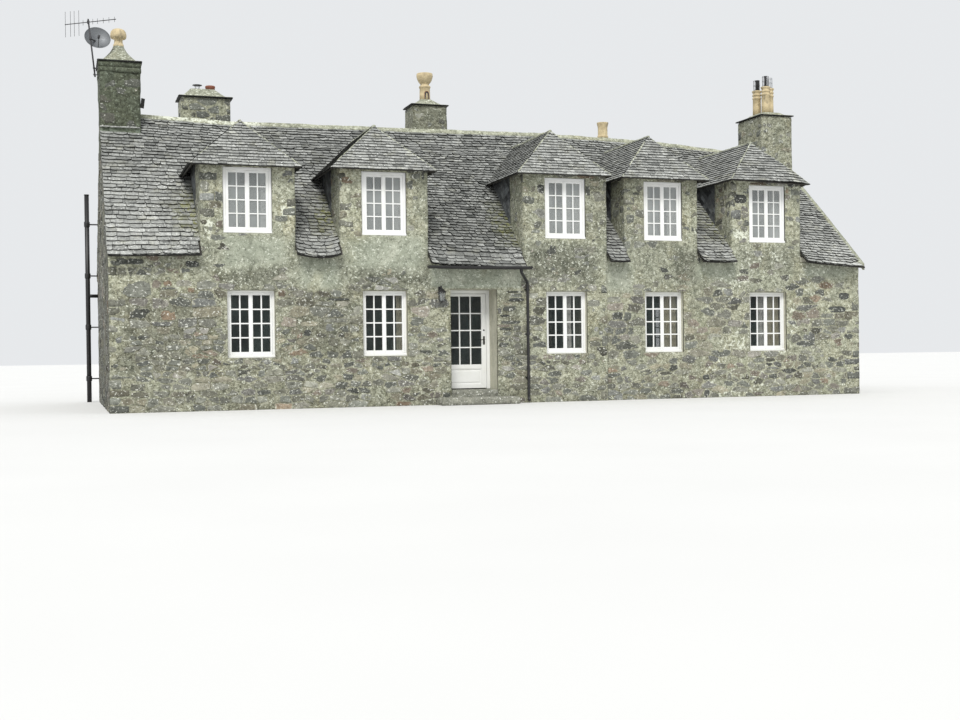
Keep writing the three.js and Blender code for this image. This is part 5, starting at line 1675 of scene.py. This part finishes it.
# ---------------------------------------------------------------- build: windows
def window(name, w, yf, glass, turned=False, curtains=()):
    """Two side-hung casements of two by four panes in a painted frame."""
    x0, x1, z0, z1 = w
    m = Shells()
    g = .001
    x0, x1, z0, z1 = x0 + g, x1 - g, z0 + g, z1 - g
    T = lambda: (.5, .5, 0, .5)
    up = z1 > 3
    fw, sw, cw, hb, yb = (.055, .052, .0405, .0125, yf + .078) if up else (.042, .040, .038, .0142, yf + .078)
    m.box(x0, x0 + fw, yf, yb, z0, z1, .005)
    m.box(x1 - fw, x1, yf, yb, z0, z1, .005)
    m.box(x0 + fw, x1 - fw, yf, yb, z1 - fw, z1, .005)
    m.box(x0 + fw, x1 - fw, yf, yb, z0, z0 + .050, .005)
    # sill with a sloping nose
    sx0, sx1 = x0 + .002, x1 - .002
    nose = np.array([(sx0, yf - .022, z0 + .004), (sx0, yf - .022, z0 + .040), (sx0, yf + .006, z0 + .052), (sx0, yf + .006, z0 + .004)])
    other = nose.copy()
    other[:, 0] = sx1
    prism(m, nose, other, (.5, .5, 0, .5))
    xc = (x0 + x1) / 2
    ib, it = z0 + .052, z1 - fw - .002
    for k, (a, b) in enumerate(((x0 + fw + .002, xc - .002), (xc + .002, x1 - fw - .002))):
        yc, yd = yf + .010, yf + .052
        wl, wr = (sw, cw) if k == 0 else (cw, sw)
        m.box(a, a + wl, yc, yd, ib, it, .004)
        m.box(b - wr, b, yc, yd, ib, it, .004)
        m.box(a + wl, b - wr, yc, yd, it - .046, it, .004)
        m.box(a + wl, b - wr, yc, yd, ib, ib + .062, .004)
        ga, gb, gc, gd = a + wl, b - wr, ib + .062, it - .046
        gm = (ga + gb) / 2
        m.box(gm - hb, gm + hb, yf + .014, yf + .046, gc, gd, .004)
        for r in (1, 2, 3):
            zz = gc + (gd - gc) * r / 4
            m.box(ga, gm - hb, yf + .015, yf + .045, zz - hb * .92, zz + hb * .92, .004)
            m.box(gm + hb, gb, yf + .015, yf + .045, zz - hb * .92, zz + hb * .92, .004)
        m.box(ga - .004, gb + .004, yf + .029, yf + .033, gc - .004, gd + .004, .0005, (.5, .5, 0, .5), 1)
    m.box(xc - .020, xc + .020, yf + .003, yf + .014, ib + .004, it - .004, .004)
    # stay and catch
    m.box(xc - .012, xc + .012, yf + .052, yf + .066, (z0 + z1) / 2 - .05, (z0 + z1) / 2 + .05, .003, (.5, .5, 0, .5), 2)
    ob = m.object(name + "_joinery", [PAINT, glass, BRASS], [name], turned=turned)
    for i, (a, b, cloth, full) in enumerate(curtains):
        curtain(f"{name}_curtain_{i + 1}", a, b, yf + .115, z0 + .03, z1 - .02, cloth, full, turned)
    return ob


def curtain(name, xa, xb, y, z0, z1, cloth, full, turned):
    """A gathered curtain that hangs in pleats behind the glass."""
    nx, nz = 56, 26
    t = np.linspace(0, 1, nx)
    zt = np.linspace(0, 1, nz)
    V = np.zeros((nz, nx, 3))
    pl = max(3, int((xb - xa) / .055))
    for k, s in enumerate(zt):
        amp = (.010 + .012 * s) * full
        ph = t * pl * 2 * math.pi
        yy = y + amp * np.sin(ph + .5 * np.sin(s * 3)) + .004 * (vnoise(t * 6, s * 3 + xa, 5) - .5)
        xx = xa + (xb - xa) * t + .006 * np.sin(ph * .5) * s
        V[k, :, 0], V[k, :, 1], V[k, :, 2] = xx, yy, z1 + (z0 - z1) * s
    P = V.reshape(-1, 3)
    F = []
    for k in range(nz - 1):
        for i in range(nx - 1):
            a = k * nx + i
            F.append((a, a + 1, a + nx + 1, a + nx))
    m = Shells()
    m.add(P, F, (.5, .5, 0, .5), 0, True, check=False)
    ob = m.object(name, [cloth], turned=turned)
    return ob


CURTAINS = {
    "window_upper_1": [(.79, .93, CREAM, 1), (.04, .10, CREAM, .8)], "window_upper_2": [(.75, .92, CREAM, 1)],
    "window_upper_3": [(.52, .70, CREAM, 1), (.74, .93, CREAM, 1)], "window_upper_4": [(.06, .24, CREAM, 1), (.68, .93, CREAM, 1)],
    "window_upper_5": [(.66, .93, CREAM, 1), (.05, .13, CREAM, .8)],
    "window_lower_2": [(.80, .93, OATMEAL, 1)], "window_lower_4": [(.54, .93, OATMEAL, 1)], "window_lower_5": [(.36, .56, CREAM, 1), (.60, .93, OATMEAL, 1)],
    "window_lower_3": [(.56, .70, CREAM, .8)]}
for name, w in WINDOWS.items():
    back = .025 if "upper" in name else .100
    yf = back + (SET_BACK if w[0] > JOINT_X else 0)
    cur = [(w[0] + (w[1] - w[0]) * a, w[0] + (w[1] - w[0]) * b, c, f) for a, b, c, f in CURTAINS.get(name, [])]
    window(name, w, yf, GLASS_UP if "upper" in name else GLASS_LOW, curtains=cur)
for name, w in REAR_WINDOWS.items():
    window(name, w, .025 if "upper" in name else .100, GLASS_UP if "upper" in name else GLASS_LOW, turned=True)

# ---------------------------------------------------------------- build: doorway
m = Shells()
JL, JR, JH, Y0, Y1 = .030, .070, .070, DOOR_Y - .010, DOOR_Y + .080
fx0, fx1, fz0, fz1 = DOOR_X0 + .001, DOOR_X1 - .001, FLOOR - .009, DOOR_HEAD - .001
m.box(fx0, DOOR_X0 + JL, Y0, Y1, fz0, fz1, .005)
m.box(DOOR_X1 - JR, fx1, Y0, Y1, fz0, fz1, .005)
m.box(DOOR_X0 + JL, DOOR_X1 - JR, Y0, Y1, DOOR_HEAD - JH, fz1, .005)
for a, b in ((DOOR_X0 + JL - .002, DOOR_X0 + JL + .004), (DOOR_X1 - JR - .004, DOOR_X1 - JR + .002)):
    m.box(a, b, Y0 + .002, Y0 + .009, FLOOR, DOOR_HEAD - JH - .002, .002)
m.object("door_frame_joinery", [PAINT], ["door_frame"])

m = Shells()
a, b, c, d = DOOR_X0 + JL + .007, DOOR_X1 - JR - .007, FLOOR + .008, DOOR_HEAD - .077
ya, yb = DOOR_Y, DOOR_Y + .045
sa, sb, g0, g1 = a + .070, b - .103, .800, d - .052
m.box(a, sa, ya, yb, c, d, .004)
m.box(sb, b, ya, yb, c, d, .004)
m.box(sa, sb, ya, yb, g1, d, .004)
m.box(sa, sb, ya, yb, .715, g0, .004)
m.box(sa, sb, ya, yb, c, .385, .004)
pw, ph = (sb - sa) / 3, (g1 - g0) / 4
for i in (1, 2):
    x = sa + i * pw
    m.box(x - .0135, x + .0135, ya + .005, yb - .005, g0, g1, .005)
for i in (1, 2, 3):
    zz = g0 + i * ph
    for k in range(3):
        xa_, xb_ = sa + k * pw + (.0135 if k else 0), sa + (k + 1) * pw - (.0135 if k < 2 else 0)
        m.box(xa_, xb_, ya + .006, yb - .006, zz - .013, zz + .013, .005)
m.box(sa - .004, sb + .004, ya + .020, ya + .025, g0 - .004, g1 + .004, .0005, (.5, .5, 0, .5), 1)
# bottom panel with a raised field and its mould
m.box(sa, sb, ya + .014, yb - .014, .385, .715, .003)
m.box(sa + .045, sb - .045, ya + .006, yb - .006, .430, .670, .007)
for (p, q, r, t) in ((sa, sb, .385, .401), (sa, sb, .699, .715)):
    m.box(p, q, ya + .004, ya + .014, r, t, .004)
for (p, q) in ((sa, sa + .016), (sb - .016, sb)):
    m.box(p, q, ya + .004, ya + .014, .401, .699, .004)
# lever handles, plate and cylinder
hx, hz = b - .050, 1.31
for y, sgn in ((ya, -1), (yb, 1)):
    p, q = sorted((y, y + sgn * .006))
    m.box(hx - .019, hx + .019, p, q, hz - .10, hz + .075, .003, (.5, .5, 0, .5), 2)
    m.tube([(hx, y, hz), (hx, y + sgn * .048, hz)], .009, 12, mat=2)
    m.tube([(hx + .006, y + sgn * .048, hz), (hx - .03, y + sgn * .050, hz + .002), (hx - .075, y + sgn * .049, hz), (hx - .108, y + sgn * .044, hz - .004)], [.009, .009, .008, .006], 12, mat=2)
    m.tube([(hx, y, hz - .06), (hx, y + sgn * .012, hz - .06)], .010, 12, mat=2)
    m.tube([(hx, y, hz + .20), (hx, y + sgn * .010, hz + .20)], .016, 16, mat=2)
m.object("front_door_leaf", [PAINT, GLASS_LOW, BRASS], ["front_door"], body="front_door")

m = Shells()
block(m, (6.31, -.46, 0), (7.95, -.003, .150), (26, 8, 3), .020, .008, 9, (.36, .62, .4, .5), 0, 4.0)
block(m, (DOOR_X0 + .003, -.02, .004), (DOOR_X1 - .003, .478, .288), (14, 8, 4), .018, .006, 19, (.30, .55, .3, .5), 0, 5.0)
m.box(DOOR_X0 + .003, DOOR_X1 - .003, .472, WALL, .004, .288, .006, (.30, .55, .3, .5))
m.object("doorstep_stone", [STONE], ["doorstep"])

# ---------------------------------------------------------------- build: iron goods
PX, OUTLET = 8.278, 8.05
m = Shells()
gx0, gx1, gy, gz = 6.075, 8.28, -.315, 2.785
a = np.linspace(math.pi, 2 * math.pi, 13)
sec = [(gy + .058 * math.cos(t), gz + .058 * math.sin(t)) for t in a] + [(gy + .062, gz + .004), (gy + .052, gz + .004)]
sec += [(gy + .052 * math.cos(t), gz + .052 * math.sin(t)) for t in a[::-1]] + [(gy - .052, gz + .004), (gy - .062, gz + .004)]
xs = np.linspace(gx0, gx1, 20)
m.loft([[(x, p, q - .006 * math.sin((x - gx0) / (gx1 - gx0) * math.pi)) for p, q in sec] for x in xs], smooth=True)
for x in (gx0 + .002, gx1 - .006):
    cap = [(gy + .057 * math.cos(t), gz + .057 * math.sin(t)) for t in a]
    prism(m, np.array([(x, p, q) for p, q in cap]), np.array([(x + .004, p, q) for p, q in cap]), (.5, .5, 0, .5))
for x in (6.45, 7.1, 7.75):
    sec2 = [(gy + .064 * math.cos(t), gz + .064 * math.sin(t)) for t in a] + [(gy + .0585 * math.cos(t), gz + .0585 * math.sin(t)) for t in a[::-1]]
    m.loft([[(x - .012, p, q) for p, q in sec2], [(x + .012, p, q) for p, q in sec2]], smooth=False)
    m.box(x - .010, x + .010, gy + .045, gy + .10, gz + .002, gz + .010, .002)
m.object("gutter_half_round", [IRON], ["gutter"])

m = Shells()


def bend(pts, r=.05, n=5):
    pts = [np.array(p, float) for p in pts]
    out = [pts[0]]
    for p, q, s in zip(pts, pts[1:], pts[2:]):
        u, v = (p - q) / np.linalg.norm(p - q), (s - q) / np.linalg.norm(s - q)
        k = min(r, np.linalg.norm(p - q) * .45, np.linalg.norm(s - q) * .45)
        a_, b_ = q + u * k, q + v * k
        for t in np.linspace(0, 1, n + 1):
            out.append((1 - t) ** 2 * a_ + 2 * t * (1 - t) * q + t * t * b_)
    out.append(pts[-1])
    return np.array(out)


m.tube(bend([(OUTLET, gy, gz - .060), (OUTLET, gy, gz - .12), (PX, -.055, gz - .305), (PX, -.055, .10), (PX, -.10, .045)], .05), .029, 20)
for z, y in ((gz - .085, gy),):
    m.lathe([(0, z - .020), (.034, z - .020), (.036, z + .018), (.033, z + .022), (0, z + .022)], OUTLET, y, 20)
for z in (2.33, 1.42, .52):
    m.lathe([(0, z - .035), (.034, z - .035), (.036, z - .028), (.036, z + .028), (.034, z + .035), (0, z + .035)], PX, -.055, 20)
    m.box(PX - .055, PX + .055, -.030, -.004, z - .011, z + .011, .003)
m.object("downpipe_with_sockets", [IRON], ["downpipe"])

m = Shells()
lx = 6.41
m.box(lx - .04, lx + .04, -.016, -.001, 2.235, 2.395, .004)
m.tube(bend([(lx, -.012, 2.365), (lx, -.095, 2.405), (lx, -.130, 2.372), (lx, -.130, 2.335)], .03), .0085, 10)
m.tube(bend([(lx, -.012, 2.26), (lx, -.05, 2.275), (lx, -.085, 2.35)], .02), .006, 8)
hexa = lambda r, z, o=0.0: [(lx + r * math.cos(t + o), -.130 + r * math.sin(t + o), z) for t in np.arange(6) * math.pi / 3 + math.pi / 6]
m.loft([hexa(.018, 2.342), hexa(.040, 2.318), hexa(.094, 2.272), hexa(.098, 2.262), hexa(.080, 2.258)], smooth=False)
m.loft([hexa(.056, 2.078), hexa(.060, 2.092), hexa(.050, 2.096), hexa(.02, 2.098)][::-1], smooth=False)
for t in np.arange(6) * math.pi / 3 + math.pi / 6:
    m.tube([(lx + .078 * math.cos(t), -.130 + .078 * math.sin(t), 2.262), (lx + .055 * math.cos(t), -.130 + .055 * math.sin(t), 2.090)], .0045, 6)
m.loft([hexa(.070, 2.256), hexa(.048, 2.098)], smooth=False, mat=1)
m.lathe([(0, 2.335), (.009, 2.337), (.014, 2.35), (.009, 2.362), (.004, 2.372), (0, 2.39)], lx, -.130, 12)
m.lathe([(0, 2.052), (.006, 2.056), (.013, 2.066), (.009, 2.076), (.02, 2.082), (0, 2.084)], lx, -.130, 12)
m.object("wall_lantern_glazed", [IRON, GLASS_UP], ["wall_lantern"])

m = Shells()
my = 2.96
bx = -.04
m.tube([(-.100, my, 6.86), (-.222, my, 8.05)], .0165, 12)
for z0_, xw in ((7.025, bx), (6.89, -.010)):
    m.box(-.120, xw - .001, my - .028, my + .028, z0_ + .010, z0_ + .020, .002)
    m.box(xw - .007, xw - .001, my - .030, my + .030, z0_ - .02, z0_ + .05, .002)
    m.lathe([(0, z0_ + .002), (.024, z0_ + .002), (.024, z0_ + .032), (0, z0_ + .032)], -.112 if z0_ < 7 else -.118, my, 14)
boom = lambda x: 7.900 + .187 * (x + .680) / 1.015
m.tube([(-.680, my, boom(-.68)), (.335, my, boom(.335))], .0085, 8)
for x in (-.406, -.322, -.209, -.130, -.037, .080, .192, .304):
    m.tube([(x, my, boom(x) - .055), (x, my, boom(x) + .055)], .0040, 6)
for x in (-.670, -.570, -.495, -.405):
    m.tube([(x, my, boom(x) - .262), (x, my, boom(x) + .262)], .0038, 6)
m.box(-.245, -.195, my - .022, my + .022, 7.955, 8.015, .004)
# dish: a shallow bowl with a rolled rim, its arm and feed
ax = np.array((.1, -.9, .41)); ax /= np.linalg.norm(ax)
uu = np.cross(ax, (0, 0, 1.0)); uu /= np.linalg.norm(uu)
vv = np.cross(uu, ax)
cen = np.array((-.045, 3.175, 7.675))
an = np.arange(40) * 2 * math.pi / 40
prof = []
for i in range(11):
    t = .66 * i / 10
    prof.append((.42 * math.sin(t), .42 * (1 - math.cos(t))))
prof.append((.42 * math.sin(.672), .42 * (1 - math.cos(.672)) + .004))
prof.append((.42 * math.sin(.672) + .004, .42 * (1 - math.cos(.672)) - .002))
for i in range(10, -1, -1):
    t = .66 * i / 10
    prof.append((.424 * math.sin(t), .42 - .426 * math.cos(t)))
m.loft([[cen + ax * z_ + max(r, .0008) * (math.cos(q) * uu + math.sin(q) * vv) for q in an] for r, z_ in prof], mat=1, smooth=True)
lnb = cen + ax * .235 - vv * .10
m.tube([cen - vv * .235 + ax * .055, cen - vv * .20 + ax * .12, lnb], .008, 8, mat=0)
m.tube([lnb - ax * .035, lnb + ax * .045], [.022, .026], 14, mat=0)
m.tube([cen - ax * .004, cen - ax * .05], .03, 14, mat=0)
m.tube([cen - ax * .045, (-.180, my + .02, 7.650)], .014, 10, mat=0)
m.lathe([(0, 7.620), (.026, 7.620), (.026, 7.680), (0, 7.680)], -.182, my, 14)
m.object("aerial_mast_and_dish", [LEAD, ALU], ["aerial_and_dish"])

m = Shells()
m.tube([(-.235, 6.45, 0), (-.235, 6.45, 4.85)], .052, 24)
m.tube(bend([(-.235, 6.45, 2.40), (-.235, 6.45, 2.48), (-.002, 6.45, 2.48)], .05), .040, 18)
for z in (.55, 1.75, 2.95, 4.15):
    m.lathe([(0, z - .06), (.060, z - .06), (.066, z - .04), (.066, z + .05), (.062, z + .06), (0, z + .06)], -.235, 6.45, 24)
    m.box(-.20, -.001, 6.42, 6.48, z - .014, z + .014, .003)
m.lathe([(0, 4.83), (.058, 4.83), (.058, 4.85), (.03, 4.852), (0, 4.852)], -.235, 6.45, 24)
m.object("soil_vent_pipe", [IRON], ["vent_pipe"])

# ---------------------------------------------------------------- carried-over solids
for n in ("front_wall_left", "door_head_wall", "front_wall_middle", "front_wall_right", "left_gable_wall", "right_gable_wall", "rear_wall"):
    NODES[n].data.materials.clear()
    NODES[n].data.materials.append(PLASTER)
NODES["ground_floor"].data.materials.clear()
NODES["ground_floor"].data.materials.append(clay_material("stone_flags", (.24, .23, .20), (.17, .165, .15), .4))
NODES["upper_floor"].data.materials.clear()
NODES["upper_floor"].data.materials.append(BOARDS)

# ---------------------------------------------------------------- stage
fm = Mat("studio_floor")
fm.set("Base Color", fm.mix(fm.noise(.4, 2, .5), (.70, .70, .69), (.74, .74, .73))).set("Roughness", .9)
me = bpy.data.meshes.new("studio_floor")
me.from_pydata([(-150, -150, 0), (150, -150, 0), (150, 150, 0), (-150, 150, 0)], [], [(0, 1, 2, 3)])
me.materials.append(fm.m)
fl = bpy.data.objects.new("studio_floor", me)
bpy.context.scene.collection.objects.link(fl)


def sun(name, energy, angle, elev, azim, colour=(1, 1, 1)):
    s = bpy.data.lights.new(name, "SUN")
    s.energy, s.angle, s.color = energy, math.radians(angle), colour
    o = bpy.data.objects.new(name, s)
    e, a = math.radians(elev), math.radians(azim)
    # azimuth 0 shines from the front, positive from the right
    d = Vector((-math.sin(a) * math.cos(e), math.cos(a) * math.cos(e), -math.sin(e)))
    o.rotation_euler = d.to_track_quat("-Z", "Y").to_euler()
    bpy.context.scene.collection.objects.link(o)


sun("key", 2.35, 18, 50, -25, (1, .985, .95))
w = bpy.data.worlds.new("studio")
bpy.context.scene.world = w
w.use_nodes = True
w.node_tree.nodes["Background"].inputs[0].default_value = (.93, .95, .97, 1)
w.node_tree.nodes["Background"].inputs[1].default_value = .86
bpy.context.scene.view_settings.view_transform = "Standard"

print("TRIS", sum(TRIS.values()), {k: v for k, v in TRIS.items() if v > 20000})
